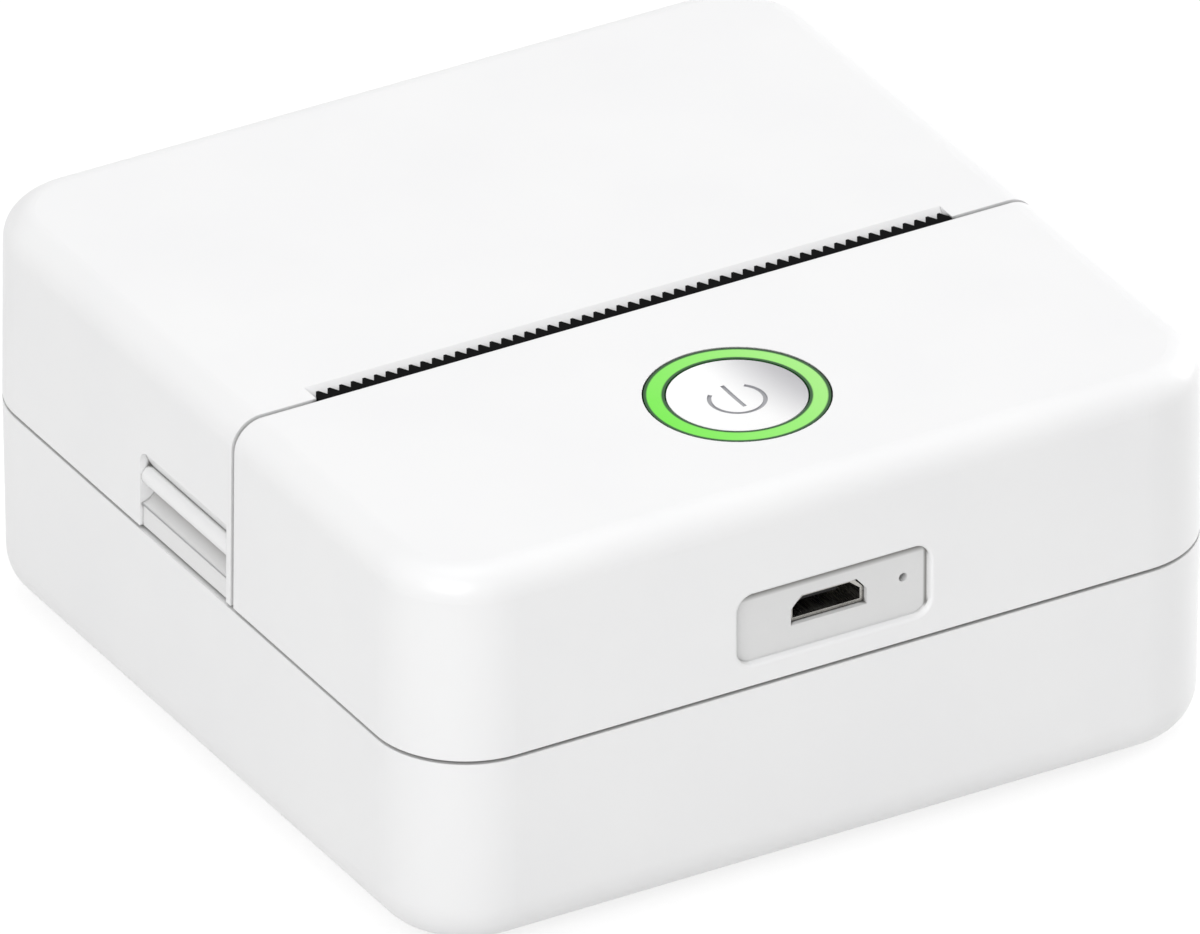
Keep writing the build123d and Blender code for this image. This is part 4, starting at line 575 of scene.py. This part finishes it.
dress("main_board", board_mask)

# Chips, both tact switches and the paper sensor are moulded in epoxy filled with silica, which is
# matt black-grey with a fine grain. The print head's chips lie under a glossy black potting resin.
for part_name, colour, shade in (
    ("board_chips", "#1B1B1D", "#232326"),
    ("power_switch", "#202022", "#2A2A2D"),
    ("reset_switch", "#202022", "#2A2A2D"),
    ("paper_sensor", "#17171A", "#202024"),
):
    epoxy_name = "moulded epoxy of " + part_name.replace("_", " ")
    dress(part_name, moulded_plastic(
        epoxy_name, colour, shade, roughness=0.55, grain_size=0.15, grain_depth=0.01, ior=EPOXY_IOR,
    ))
dress("head_chip_cover", moulded_plastic(
    "black potting resin", colour="#121212", shade="#1A1918",
    roughness=0.2, grain_size=0.6, grain_depth=0.02, ior=1.52,
))

# The lamps and both plungers are moulded in heat-resistant nylon with a satin skin.
# The lamps look greenish by their light. The reset plunger's black is painted shade, so that its pinhole
# shows dark.
for part_name, finish, colour, shade, roughness, grain_size, grain_depth in (
    ("status_leds", "white lamp package", "#DDF2D4", "#CFEBC4", 0.3, 0.12, 0.003),
    ("power_switch_plunger", "white nylon plunger", "#E6E4DF", "#DCDAD4", 0.4, 0.15, 0.004),
    ("reset_plunger", "nylon plunger blackened as painted pinhole shade", "#2A2A2C", "#343437", 0.45, 0.15, 0.004),
):
    dress(part_name, moulded_plastic(
        finish, colour, shade, roughness, grain_size, grain_depth, ior=NYLON_IOR,
    ))

# The radio module's lid and the socket's shell are pressed sheet steel, tinned or nickelled.
# Rolling leaves faint lines along the strip, drawn coarser than real, and the gloss is uneven.
STAIN_SIZE = 3.5
STAIN_START = 0.4
STAIN_FULL = 0.75
LINE_SHARE_LOW = 0.3
LINE_SHARE_HIGH = 0.7
GLOSSIEST = 0.75
DULLEST = 1.3


def worked_metal(name, colour, tarnish, roughness, lay, lay_depth):
    """Metal with fine lines from rolling, drawing or turning.

    The lay gives the size of the lines in mm along each axis."""
    material, tree, output, place = new_material(name)
    stretched = add_node(
        tree, "ShaderNodeMapping", {"Vector": place}, {"Scale": tuple(1 / (size * MM) for size in lay)},
    )
    lines = add_node(
        tree, "ShaderNodeTexNoise", {"Vector": stretched.outputs[0]}, {"Scale": 1.0, "Detail": 4.0},
    )
    stains = add_node(
        tree, "ShaderNodeTexNoise", {"Vector": place}, {"Scale": 1 / (STAIN_SIZE * MM), "Detail": 4.0},
    )
    stain_mask = add_node(
        tree, "ShaderNodeMapRange", {"Value": stains.outputs["Fac"]},
        {"From Min": STAIN_START, "From Max": STAIN_FULL},
    )
    metal_colour = add_node(
        tree, "ShaderNodeMix", {"Factor": stain_mask.outputs[0]},
        {6: linear(colour), 7: linear(tarnish)}, data_type="RGBA",
    )
    gloss = add_node(
        tree, "ShaderNodeMapRange", {"Value": lines.outputs["Fac"]},
        {
            "From Min": LINE_SHARE_LOW, "From Max": LINE_SHARE_HIGH,
            "To Min": roughness * GLOSSIEST, "To Max": roughness * DULLEST,
        },
    )
    bump = add_node(
        tree, "ShaderNodeBump", {"Height": lines.outputs["Fac"]}, {"Distance": lay_depth * MM},
    )
    shader = add_node(
        tree, "ShaderNodeBsdfPrincipled",
        {"Base Color": metal_colour.outputs[2], "Roughness": gloss.outputs[0], "Normal": bump.outputs[0]},
        {"Metallic": 1.0},
    )
    tree.links.new(shader.outputs[0], output.inputs[0])
    return material


ROLLED_ALONG_X = (6.0, 0.12, 0.12)
ROLLED_ALONG_Y = (0.12, 6.0, 0.12)
TURNED_ROUND_X = (0.10, 4.0, 4.0)

dress("radio_module", worked_metal(
    "tinned steel lid", colour="#C3C5C4", tarnish="#A9ABA9",
    roughness=0.34, lay=ROLLED_ALONG_X, lay_depth=0.004,
))
dress("usb_socket_shell", worked_metal(
    "nickelled steel shell", colour="#B9B7B2", tarnish="#9C9A95",
    roughness=0.28, lay=ROLLED_ALONG_Y, lay_depth=0.003,
))
dress("usb_socket_tongue", moulded_plastic(
    "black nylon tongue", colour="#141415", shade="#1C1C1E",
    roughness=0.45, grain_size=0.15, grain_depth=0.004, ior=NYLON_IOR,
))

# The print frame is black nylon filled with glass fibre, moulded in one with the paper guide.
# The fibres leave a faint grey swirl in the skin and a fine grain.
dress("print_frame", moulded_plastic(
    "glass-filled black nylon", colour="#1A1B1C", shade="#2A2B2D",
    roughness=0.5, grain_size=0.3, grain_depth=0.012, ior=NYLON_IOR,
))

# The paper cradle is a tray of light grey ABS that the roll turns in, screwed to the base.
# It has a satin moulded skin, greyer in drifts.
dress("paper_cradle", moulded_plastic(
    "light grey ABS", colour="#C9CACC", shade="#BEC0C2",
    roughness=0.42, grain_size=0.3, grain_depth=0.006, ior=ABS_IOR,
))

# The stepper motor has a drawn and nickelled steel can, and a ground shaft. The gears' axles are
# turned. Drawing leaves lines along the can, grinding and turning leave lines round the rods.
dress("motor_can", worked_metal(
    "drawn nickelled can", colour="#B4B2AC", tarnish="#98968F",
    roughness=0.30, lay=ROLLED_ALONG_X, lay_depth=0.005,
))
dress("motor_shaft", worked_metal(
    "ground motor shaft", colour="#C8C8C8", tarnish="#AFAFAE",
    roughness=0.20, lay=TURNED_ROUND_X, lay_depth=0.003,
))
dress("gear_axles", worked_metal(
    "turned gear axles", colour="#C2C2C1", tarnish="#A6A6A4",
    roughness=0.24, lay=TURNED_ROUND_X, lay_depth=0.004,
))

# The four gears are moulded in natural acetal, which is ivory white, waxy and lets light in
# a little. A film of grease lies on it in patches, yellower and glossier.
ACETAL_COLOUR = "#E7E3D6"
ACETAL_ROUGHNESS = 0.42
ACETAL_IOR = 1.48
ACETAL_DEPTH = 0.6
ACETAL_GLOW = 0.3
ACETAL_TINT = (1.0, 0.9, 0.7)
GREASED_COLOUR = "#D6CFB8"
GREASED_ROUGHNESS = 0.2
GREASE_SIZE = 2.0
GREASE_DEPTH = 0.02
GREASE_START = 0.45
GREASE_FULL = 0.65


def natural_acetal(name):
    """Waxy white plastic with thin grease on it."""
    material, tree, output, place = new_material(name)
    grease = add_node(
        tree, "ShaderNodeTexNoise", {"Vector": place}, {"Scale": 1 / (GREASE_SIZE * MM), "Detail": 4.0},
    )
    film = add_node(
        tree, "ShaderNodeMapRange", {"Value": grease.outputs["Fac"]},
        {"From Min": GREASE_START, "From Max": GREASE_FULL},
    )
    colour_mix = add_node(
        tree, "ShaderNodeMix", {"Factor": film.outputs[0]},
        {6: linear(ACETAL_COLOUR), 7: linear(GREASED_COLOUR)}, data_type="RGBA",
    )
    gloss = add_node(
        tree, "ShaderNodeMapRange", {"Value": film.outputs[0]},
        {"To Min": ACETAL_ROUGHNESS, "To Max": GREASED_ROUGHNESS},
    )
    bump = add_node(
        tree, "ShaderNodeBump", {"Height": grease.outputs["Fac"]}, {"Distance": GREASE_DEPTH * MM},
    )
    shader = add_node(
        tree, "ShaderNodeBsdfPrincipled",
        {"Base Color": colour_mix.outputs[2], "Roughness": gloss.outputs[0], "Normal": bump.outputs[0]},
        {
            "IOR": ACETAL_IOR, "Subsurface Weight": ACETAL_GLOW, "Subsurface Radius": ACETAL_TINT,
            "Subsurface Scale": ACETAL_DEPTH * MM,
        },
    )
    tree.links.new(shader.outputs[0], output.inputs[0])
    return material


for part_name in ("motor_pinion", "compound_gear", "idler_gear", "platen_gear"):
    dress(part_name, natural_acetal("natural acetal of " + part_name.replace("_", " ")))

# The print head is a heatsink of extruded aluminium on a ground steel pin, pressed to the platen
# by two springs of drawn wire. Extruding leaves lines along it, and its skin is satin grey.
EXTRUDED_ALONG_X = (14.0, 0.25, 0.25)
WIRE_LAY = (1.5, 1.5, 0.2)

dress("head_heatsink", worked_metal(
    "extruded aluminium", colour="#B9BBBD", tarnish="#A5A7AA",
    roughness=0.38, lay=EXTRUDED_ALONG_X, lay_depth=0.008,
))
dress("head_pivot_pin", worked_metal(
    "ground pivot pin", colour="#C8C8C7", tarnish="#B0B0AE",
    roughness=0.20, lay=TURNED_ROUND_X, lay_depth=0.003,
))
dress("head_springs", worked_metal(
    "drawn spring wire", colour="#A8A9AB", tarnish="#8C8D8F",
    roughness=0.30, lay=WIRE_LAY, lay_depth=0.004,
))

# The heater strip is alumina ceramic, glazed glossy white, with the brown line of heater dots
# along its middle where the platen presses the paper, and gold conductors above and below it.
# The conductors are drawn four times as wide and as far apart as real ones, so that they show.
CERAMIC_COLOUR = "#E4E2DA"
CERAMIC_IOR = 1.65
GLAZE_ROUGHNESS = (0.10, 0.2)
GLAZE_MOTTLE_SIZE = 0.5
HEATER_LINE_COLOUR = "#3A2418"
CONDUCTOR_COLOUR = "#B58A3C"
HEATER_LINE_Z = 30.0
HEATER_LINE_HALF = 0.25
CONDUCTOR_HALF = 2.2
CONDUCTOR_PITCH = 0.5

ceramic, tree, output, place = new_material("glazed alumina ceramic")
split = add_node(tree, "ShaderNodeSeparateXYZ", {0: place})
level = add_node(
    tree, "ShaderNodeMath", {0: split.outputs["Z"]}, {1: HEATER_LINE_Z * MM}, operation="SUBTRACT",
)
from_line = add_node(tree, "ShaderNodeMath", {0: level.outputs[0]}, operation="ABSOLUTE")
on_line = add_node(
    tree, "ShaderNodeMath", {0: from_line.outputs[0]}, {1: HEATER_LINE_HALF * MM}, operation="LESS_THAN",
)
in_conductors = add_node(
    tree, "ShaderNodeMath", {0: from_line.outputs[0]}, {1: CONDUCTOR_HALF * MM}, operation="LESS_THAN",
)
repeats = add_node(
    tree, "ShaderNodeMath", {0: split.outputs["X"]}, {1: CONDUCTOR_PITCH * MM}, operation="PINGPONG",
)
conductor = add_node(
    tree, "ShaderNodeMath", {0: repeats.outputs[0]}, {1: CONDUCTOR_PITCH / 2 * MM}, operation="LESS_THAN",
)
conductor_mask = add_node(
    tree, "ShaderNodeMath", {0: conductor.outputs[0], 1: in_conductors.outputs[0]}, operation="MULTIPLY",
)
mottle = add_node(
    tree, "ShaderNodeTexNoise", {"Vector": place}, {"Scale": 1 / (GLAZE_MOTTLE_SIZE * MM), "Detail": 3.0},
)
glaze_gloss = add_node(
    tree, "ShaderNodeMapRange", {"Value": mottle.outputs["Fac"]},
    {"To Min": GLAZE_ROUGHNESS[0], "To Max": GLAZE_ROUGHNESS[1]},
)
glazed = add_node(
    tree, "ShaderNodeMix", {"Factor": conductor_mask.outputs[0]},
    {6: linear(CERAMIC_COLOUR), 7: linear(CONDUCTOR_COLOUR)}, data_type="RGBA",
)
lined = add_node(
    tree, "ShaderNodeMix", {"Factor": on_line.outputs[0], 6: glazed.outputs[2]},
    {7: linear(HEATER_LINE_COLOUR)}, data_type="RGBA",
)
shader = add_node(
    tree, "ShaderNodeBsdfPrincipled",
    {"Base Color": lined.outputs[2], "Roughness": glaze_gloss.outputs[0]}, {"IOR": CERAMIC_IOR},
)
tree.links.new(shader.outputs[0], output.inputs[0])
dress("head_ceramic", ceramic)

# The platen is a ground steel shaft with a sleeve of black nitrile rubber, ground round to size.
# Grinding leaves fine rings round the rubber, drawn coarser than real, and paper dusts it.
PLATEN_COLOUR = "#222224"
PLATEN_ROUGHNESS = 0.6
NITRILE_IOR = 1.52
PAPER_DUST_COLOUR = "#55565A"
PAPER_DUST_SIZE = 4.0
PAPER_DUST_START = 0.45
GRINDING_PITCH = 0.12
GRINDING_LENGTH = 8.0
GRINDING_DEPTH = 0.012

platen_skin, tree, output, place = new_material("ground nitrile rubber")
rings = add_node(
    tree, "ShaderNodeMapping", {"Vector": place},
    {"Scale": (1 / (GRINDING_PITCH * MM), 1 / (GRINDING_LENGTH * MM), 1 / (GRINDING_LENGTH * MM))},
)
grinding = add_node(
    tree, "ShaderNodeTexNoise", {"Vector": rings.outputs[0]}, {"Scale": 1.0, "Detail": 2.0},
)
dust_and_shade = add_node(
    tree, "ShaderNodeTexNoise", {"Vector": place}, {"Scale": 1 / (PAPER_DUST_SIZE * MM), "Detail": 5.0},
)
dusty = add_node(
    tree, "ShaderNodeMapRange", {"Value": dust_and_shade.outputs["Fac"]},
    {"From Min": PAPER_DUST_START, "From Max": 1.0},
)
platen_colour = add_node(
    tree, "ShaderNodeMix", {"Factor": dusty.outputs[0]},
    {6: linear(PLATEN_COLOUR), 7: linear(PAPER_DUST_COLOUR)}, data_type="RGBA",
)
grinding_bump = add_node(
    tree, "ShaderNodeBump", {"Height": grinding.outputs["Fac"]}, {"Distance": GRINDING_DEPTH * MM},
)
shader = add_node(
    tree, "ShaderNodeBsdfPrincipled",
    {"Base Color": platen_colour.outputs[2], "Normal": grinding_bump.outputs[0]},
    {"Roughness": PLATEN_ROUGHNESS, "IOR": NITRILE_IOR},
)
tree.links.new(shader.outputs[0], output.inputs[0])
dress("platen_rubber", platen_skin)
dress("platen_shaft", worked_metal(
    "ground platen shaft", colour="#C9C9C8", tarnish="#B1B1AF",
    roughness=0.2, lay=TURNED_ROUND_X, lay_depth=0.003,
))

# The platen hangs in a holder bent from zinc-plated sheet, on two bushings of dark acetal.
# The plating is a bluish satin with faint rolling lines.
dress("platen_holder", worked_metal(
    "zinc-plated sheet", colour="#B8BCC2", tarnish="#9EA3AA",
    roughness=0.34, lay=ROLLED_ALONG_X, lay_depth=0.005,
))
dress("platen_bushings", moulded_plastic(
    "dark acetal", colour="#2B2C30", shade="#36373C",
    roughness=0.35, grain_size=0.2, grain_depth=0.004, ior=ACETAL_IOR,
))

# The cover turns on two ground steel pins, pressed through the knuckles at its rear.
# Grinding leaves faint rings round them.
dress("hinge_pins", worked_metal(
    "ground hinge pins", colour="#C6C6C5", tarnish="#AEAEAC",
    roughness=0.22, lay=TURNED_ROUND_X, lay_depth=0.003,
))

# The tear bar is spring steel strip, pressed with saw teeth and blackened in hot salts.
# The black is deep and dry, and wears through to grey only at the sharp tips of the teeth.
BLACKING_COLOUR = "#040405"
BLACKING_WORN_COLOUR = "#1E1F21"
BLACKING_ROUGHNESS = (0.4, 0.6)
BLACKING_GLOSS = 0.03
TOOTH_TIP_Y = -5.42
TOOTH_WORN_LENGTH = 0.12
STRIP_LAY = (5.0, 0.15, 0.15)
STRIP_LAY_DEPTH = 0.004

tear_bar_steel, tree, output, place = new_material("blackened spring steel")
split = add_node(tree, "ShaderNodeSeparateXYZ", {0: place})
tip = add_node(
    tree, "ShaderNodeMapRange", {"Value": split.outputs["Y"]},
    {
        "From Min": (TOOTH_TIP_Y - TOOTH_WORN_LENGTH) * MM,
        "From Max": (TOOTH_TIP_Y + TOOTH_WORN_LENGTH) * MM,
    },
)
stretched = add_node(
    tree, "ShaderNodeMapping", {"Vector": place}, {"Scale": tuple(1 / (size * MM) for size in STRIP_LAY)},
)
rolling = add_node(
    tree, "ShaderNodeTexNoise", {"Vector": stretched.outputs[0]}, {"Scale": 1.0, "Detail": 3.0},
)
patchy = add_node(
    tree, "ShaderNodeMath", {0: tip.outputs[0], 1: rolling.outputs["Fac"]}, operation="MULTIPLY",
)
black = add_node(
    tree, "ShaderNodeMix", {"Factor": patchy.outputs[0]},
    {6: linear(BLACKING_COLOUR), 7: linear(BLACKING_WORN_COLOUR)}, data_type="RGBA",
)
black_gloss = add_node(
    tree, "ShaderNodeMapRange", {"Value": rolling.outputs["Fac"]},
    {"To Min": BLACKING_ROUGHNESS[0], "To Max": BLACKING_ROUGHNESS[1]},
)
rolling_bump = add_node(
    tree, "ShaderNodeBump", {"Height": rolling.outputs["Fac"]}, {"Distance": STRIP_LAY_DEPTH * MM},
)
shader = add_node(
    tree, "ShaderNodeBsdfPrincipled",
    {
        "Base Color": black.outputs[2], "Roughness": black_gloss.outputs[0],
        "Normal": rolling_bump.outputs[0],
    },
    {"Specular IOR Level": BLACKING_GLOSS},
)
tree.links.new(shader.outputs[0], output.inputs[0])
dress("tear_bar", tear_bar_steel)

# The light ring is a moulded light guide of green acrylic, lit from below by four lamps.
# It is deeper green on the left and paler on the right. A thin line of dark green along both
# borders is painted shade of the gaps beside its neighbours.
BUTTON_CENTRE = (0.0, -24.495)
RING_INNER_RADIUS = 6.46
RING_OUTER_RADIUS = 8.33
RING_LEFT_COLOUR = "#6ADA3B"
RING_RIGHT_COLOUR = "#9ADD78"
RING_GAP_SHADE_COLOUR = "#0F4A14"
RING_GAP_SHADE_START = 0.34
RING_GAP_SHADE_FULL = 0.20
RING_GLOW = 0.12
RING_ROUGHNESS = 0.18
ACRYLIC_IOR = 1.49
CLOUD_SIZE = 2.5
CLOUD_SHARE = 0.08

ring_glow, tree, output, place = new_material("lit green acrylic")
from_centre = add_node(
    tree, "ShaderNodeVectorMath", {0: place},
    {1: (BUTTON_CENTRE[0] * MM, BUTTON_CENTRE[1] * MM, 0)}, operation="SUBTRACT",
)
on_face = add_node(
    tree, "ShaderNodeVectorMath", {0: from_centre.outputs[0]}, {1: (1, 1, 0)}, operation="MULTIPLY",
)
radius = add_node(tree, "ShaderNodeVectorMath", {0: on_face.outputs[0]}, operation="LENGTH")
middle_radius = (RING_INNER_RADIUS + RING_OUTER_RADIUS) / 2
half_width = (RING_OUTER_RADIUS - RING_INNER_RADIUS) / 2
from_middle = add_node(
    tree, "ShaderNodeMath", {0: radius.outputs["Value"]}, {1: middle_radius * MM}, operation="SUBTRACT",
)
across = add_node(tree, "ShaderNodeMath", {0: from_middle.outputs[0]}, operation="ABSOLUTE")
gap_shade = add_node(
    tree, "ShaderNodeMapRange", {"Value": across.outputs[0]},
    {
        "From Min": (half_width - RING_GAP_SHADE_START) * MM,
        "From Max": (half_width - RING_GAP_SHADE_FULL) * MM,
    },
)
parts = add_node(tree, "ShaderNodeSeparateXYZ", {0: on_face.outputs[0]})
to_the_right = add_node(
    tree, "ShaderNodeMapRange", {"Value": parts.outputs["X"]},
    {"From Min": -RING_OUTER_RADIUS * MM, "From Max": RING_OUTER_RADIUS * MM},
)
cloud = add_node(
    tree, "ShaderNodeTexNoise", {"Vector": place}, {"Scale": 1 / (CLOUD_SIZE * MM), "Detail": 2.0},
)
cloudy = add_node(
    tree, "ShaderNodeMapRange", {"Value": cloud.outputs["Fac"]},
    {"To Min": -CLOUD_SHARE, "To Max": CLOUD_SHARE},
)
tint = add_node(
    tree, "ShaderNodeMath", {0: to_the_right.outputs[0], 1: cloudy.outputs[0]}, operation="ADD",
)
lit_colour = add_node(
    tree, "ShaderNodeMix", {"Factor": tint.outputs[0]},
    {6: linear(RING_LEFT_COLOUR), 7: linear(RING_RIGHT_COLOUR)}, data_type="RGBA",
)
ring_colour_with_gap_shade = add_node(
    tree, "ShaderNodeMix", {"Factor": gap_shade.outputs[0], 6: lit_colour.outputs[2]},
    {7: linear(RING_GAP_SHADE_COLOUR)}, data_type="RGBA",
)
shader = add_node(
    tree, "ShaderNodeBsdfPrincipled",
    {"Base Color": ring_colour_with_gap_shade.outputs[2], "Emission Color": ring_colour_with_gap_shade.outputs[2]},
    {"Roughness": RING_ROUGHNESS, "IOR": ACRYLIC_IOR, "Emission Strength": RING_GLOW},
)
tree.links.new(shader.outputs[0], output.inputs[0])
dress("light_ring", ring_glow)

# The power button is a pale ABS cap with a shallow dish. Its colour carries painted shade, white
# on the left of the dish to grey on the right.
# The common power sign is engraved and filled with grey paint.
BUTTON_PAINTED_LIT_COLOUR = "#F5F5F5"
BUTTON_PAINTED_SHADE_COLOUR = "#AFAEB2"
SIGN_COLOUR = "#A9A9AD"
DISH_RADIUS = 45.0
DISH_CENTRE_Z = 83.858
SIGN_EDGE = 0.03
SIGN_REACH = 5.0
LACQUER_ROUGHNESS = (0.26, 0.38)
LACQUER_IOR = 1.5
FLAKE_SIZE = 0.25
BUTTON_PAINTED_SHADE_FROM = -0.5
BUTTON_PAINTED_SHADE_TO = 7.5
PAINTED_SHADE_TURN = math.radians(8)

button_with_painted_shade, tree, output, place = new_material("pale ABS with painted shade")
from_centre = add_node(
    tree, "ShaderNodeVectorMath", {0: place},
    {1: (BUTTON_CENTRE[0] * MM, BUTTON_CENTRE[1] * MM, 0)}, operation="SUBTRACT",
)
# Painted shade: the colour turns from white to grey across the dish.
slope = add_node(
    tree, "ShaderNodeVectorMath", {0: from_centre.outputs[0]},
    {1: (math.cos(PAINTED_SHADE_TURN), math.sin(PAINTED_SHADE_TURN), 0)}, operation="DOT_PRODUCT",
)
shade = add_node(
    tree, "ShaderNodeMapRange", {"Value": slope.outputs["Value"]},
    {"From Min": BUTTON_PAINTED_SHADE_FROM * MM, "From Max": BUTTON_PAINTED_SHADE_TO * MM},
    interpolation_type="SMOOTHSTEP",
)
button_painted_shading = add_node(
    tree, "ShaderNodeMix", {"Factor": shade.outputs[0]},
    {6: linear(BUTTON_PAINTED_LIT_COLOUR), 7: linear(BUTTON_PAINTED_SHADE_COLOUR)}, data_type="RGBA",
)
from_dish = add_node(
    tree, "ShaderNodeVectorMath", {0: place},
    {1: (BUTTON_CENTRE[0] * MM, BUTTON_CENTRE[1] * MM, DISH_CENTRE_Z * MM)}, operation="DISTANCE",
)
below_dish = add_node(
    tree, "ShaderNodeMath", {0: from_dish.outputs["Value"]},
    {1: (DISH_RADIUS + SIGN_EDGE) * MM}, operation="GREATER_THAN",
)
on_face = add_node(
    tree, "ShaderNodeVectorMath", {0: from_centre.outputs[0]}, {1: (1, 1, 0)}, operation="MULTIPLY",
)
radius = add_node(tree, "ShaderNodeVectorMath", {0: on_face.outputs[0]}, operation="LENGTH")
near_sign = add_node(
    tree, "ShaderNodeMath", {0: radius.outputs["Value"]}, {1: SIGN_REACH * MM}, operation="LESS_THAN",
)
sign = add_node(
    tree, "ShaderNodeMath", {0: below_dish.outputs[0], 1: near_sign.outputs[0]}, operation="MULTIPLY",
)
button_colour = add_node(
    tree, "ShaderNodeMix", {"Factor": sign.outputs[0], 6: button_painted_shading.outputs[2]},
    {7: linear(SIGN_COLOUR)}, data_type="RGBA",
)
flakes = add_node(
    tree, "ShaderNodeTexNoise", {"Vector": place}, {"Scale": 1 / (FLAKE_SIZE * MM), "Detail": 2.0},
)
flake_gloss = add_node(
    tree, "ShaderNodeMapRange", {"Value": flakes.outputs["Fac"]},
    {"To Min": LACQUER_ROUGHNESS[0], "To Max": LACQUER_ROUGHNESS[1]},
)
shader = add_node(
    tree, "ShaderNodeBsdfPrincipled",
    {"Base Color": button_colour.outputs[2], "Roughness": flake_gloss.outputs[0]}, {"IOR": LACQUER_IOR},
)
tree.links.new(shader.outputs[0], output.inputs[0])
dress("power_button", button_with_painted_shade)

# The screws are cold-headed steel with a rolled thread and a cross recess, plated in bluish zinc.
# Each group of like screws is one piece that stands where its plain node is.
SCREW_PITCH = 0.6
SCREW_CORE = 0.76
SCREW_COLUMNS = 36
ROWS_PER_TURN = 4
HEAD_ROWS = 16
HEAD_ROW_SPREAD = 0.8
HEAD_FULLNESS = 3.2
CROSS_REACH = 0.58
CROSS_WIDTH = 0.15
CROSS_TAPER = 0.09
CROSS_DEPTH = 0.62
CROSS_RISE = 0.5
POINT_LENGTH = 1.2
POINT_NARROWING = 0.55
SCREW_SHARP_ANGLE = 40
PLATING_GRAIN = (0.3, 0.3, 0.3)

zinc_plating = worked_metal(
    "zinc-plated steel", colour="#BFC3C9", tarnish="#9BA1A9",
    roughness=0.3, lay=PLATING_GRAIN, lay_depth=0.004,
)


def cross_recess(x, y, radius):
    """How far the cross recess is sunk at a point of the head, from 0 to 1."""
    along = max(abs(x), abs(y)) / radius
    aside = min(abs(x), abs(y)) / radius
    width = CROSS_WIDTH - CROSS_TAPER * along
    if along > CROSS_REACH or aside > width:
        return 0.0
    return 1.0 - CROSS_RISE * along / CROSS_REACH


def screw_rings(head_radius, head_height, shank_radius, length):
    """Rings of points from the middle of the head to the tip, with the head's underside at zero."""
    angles = [2 * math.pi * column / SCREW_COLUMNS for column in range(SCREW_COLUMNS)]
    rings = []
    for row in range(1, HEAD_ROWS + 1):
        reach = math.sin(math.pi / 2 * row / HEAD_ROWS) ** HEAD_ROW_SPREAD
        rise = head_height * (1 - min(reach, 1.0) ** HEAD_FULLNESS) ** (1 / HEAD_FULLNESS)
        ring = []
        for angle in angles:
            x = head_radius * reach * math.cos(angle)
            y = head_radius * reach * math.sin(angle)
            sunk = cross_recess(x, y, head_radius) * CROSS_DEPTH * head_height
            ring.append((x, y, rise - sunk))
        rings.append(ring)
    rows = round(length / SCREW_PITCH * ROWS_PER_TURN)
    for row in range(rows + 1):
        depth = length * row / rows
        to_tip = min(1.0, (length - depth) / POINT_LENGTH)
        size = POINT_NARROWING + (1 - POINT_NARROWING) * to_tip
        ring = []
        for angle in angles:
            phase = (depth / SCREW_PITCH - angle / (2 * math.pi)) % 1.0
            crest = 1 - 2 * abs(phase - 0.5)
            thread = SCREW_CORE + (1 - SCREW_CORE) * crest ** 2
            radius = shank_radius * size * thread
            ring.append((radius * math.cos(angle), radius * math.sin(angle), -depth))
        rings.append(ring)
    return rings


def screws(node_name, body, spots, pointing, head_radius, head_height, shank_radius):
    """Replaces a node of plain screws: spots are their axes in mm, across the way they point."""
    low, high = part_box(node_name)
    way = [abs(part) for part in pointing].index(1)
    span = (high[way] - low[way]) / MM
    length = span - head_height
    if pointing[way] > 0:
        underside = low[way] / MM + head_height
    else:
        underside = high[way] / MM - head_height
    rings = screw_rings(head_radius, head_height, shank_radius, length)
    recess_floor = head_height * (1 - CROSS_DEPTH)
    turn = (-Vector(pointing)).to_track_quat("Z", "Y")
    points = []
    faces = []
    for spot in spots:
        place = list(spot)
        place.insert(way, underside)
        start = len(points)
        local = [(0, 0, recess_floor)]
        for ring in rings:
            local += ring
        local.append((0, 0, -length))
        points += [tuple((turn @ Vector(point) + Vector(place)) * MM) for point in local]
        tip = start + len(local) - 1
        lowest = start + 1 + (len(rings) - 1) * SCREW_COLUMNS
        for column in range(SCREW_COLUMNS):
            after = (column + 1) % SCREW_COLUMNS
            faces.append((start, start + 1 + column, start + 1 + after))
            faces.append((lowest + column, tip, lowest + after))
            for row in range(len(rings) - 1):
                upper = start + 1 + row * SCREW_COLUMNS
                lower = upper + SCREW_COLUMNS
                faces.append((upper + column, lower + column, lower + after, upper + after))
    mesh = bpy.data.meshes.new(node_name + "_threaded")
    mesh.from_pydata(points, [], faces)
    mesh.materials.append(zinc_plating)
    mesh.shade_smooth()
    mesh.set_sharp_from_angle(angle=math.radians(SCREW_SHARP_ANGLE))
    piece = bpy.data.objects.new(node_name + "_threaded", mesh)
    bpy.context.scene.collection.objects.link(piece)
    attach(piece, body)
    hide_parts(node_name)


def both_sides(x, rows):
    """Spots on both sides of the middle, one pair for each row."""
    return [(side * x, row) for side in (-1, 1) for row in rows]


# Radius and height of the head, then radius of the shank.
SCREW_HEAD = (1.9, 1.2, 0.95)
MOTOR_SCREW_HEAD = (1.3, 0.8, 0.7)
UP = (0, 0, 1)
DOWN = (0, 0, -1)
INWARD = (-1, 0, 0)

screws("case_screws", "case", both_sides(35.0, [-34.8]), UP, *SCREW_HEAD)
screws("cradle_screws", "case", both_sides(34.25, [19.6]), DOWN, *SCREW_HEAD)
screws("frame_screws", "case", both_sides(26.0, [-10.0, -0.7]), DOWN, *SCREW_HEAD)
screws("board_screws", "case", both_sides(25.0, [-34.5, -20.5]), UP, *SCREW_HEAD)
screws("holder_screws", "cover", both_sides(20.0, [6.3]), UP, *SCREW_HEAD)
screws("motor_screws", "case", [(-23.914, 5.7), (-23.914, 16.5)], INWARD, *MOTOR_SCREW_HEAD)
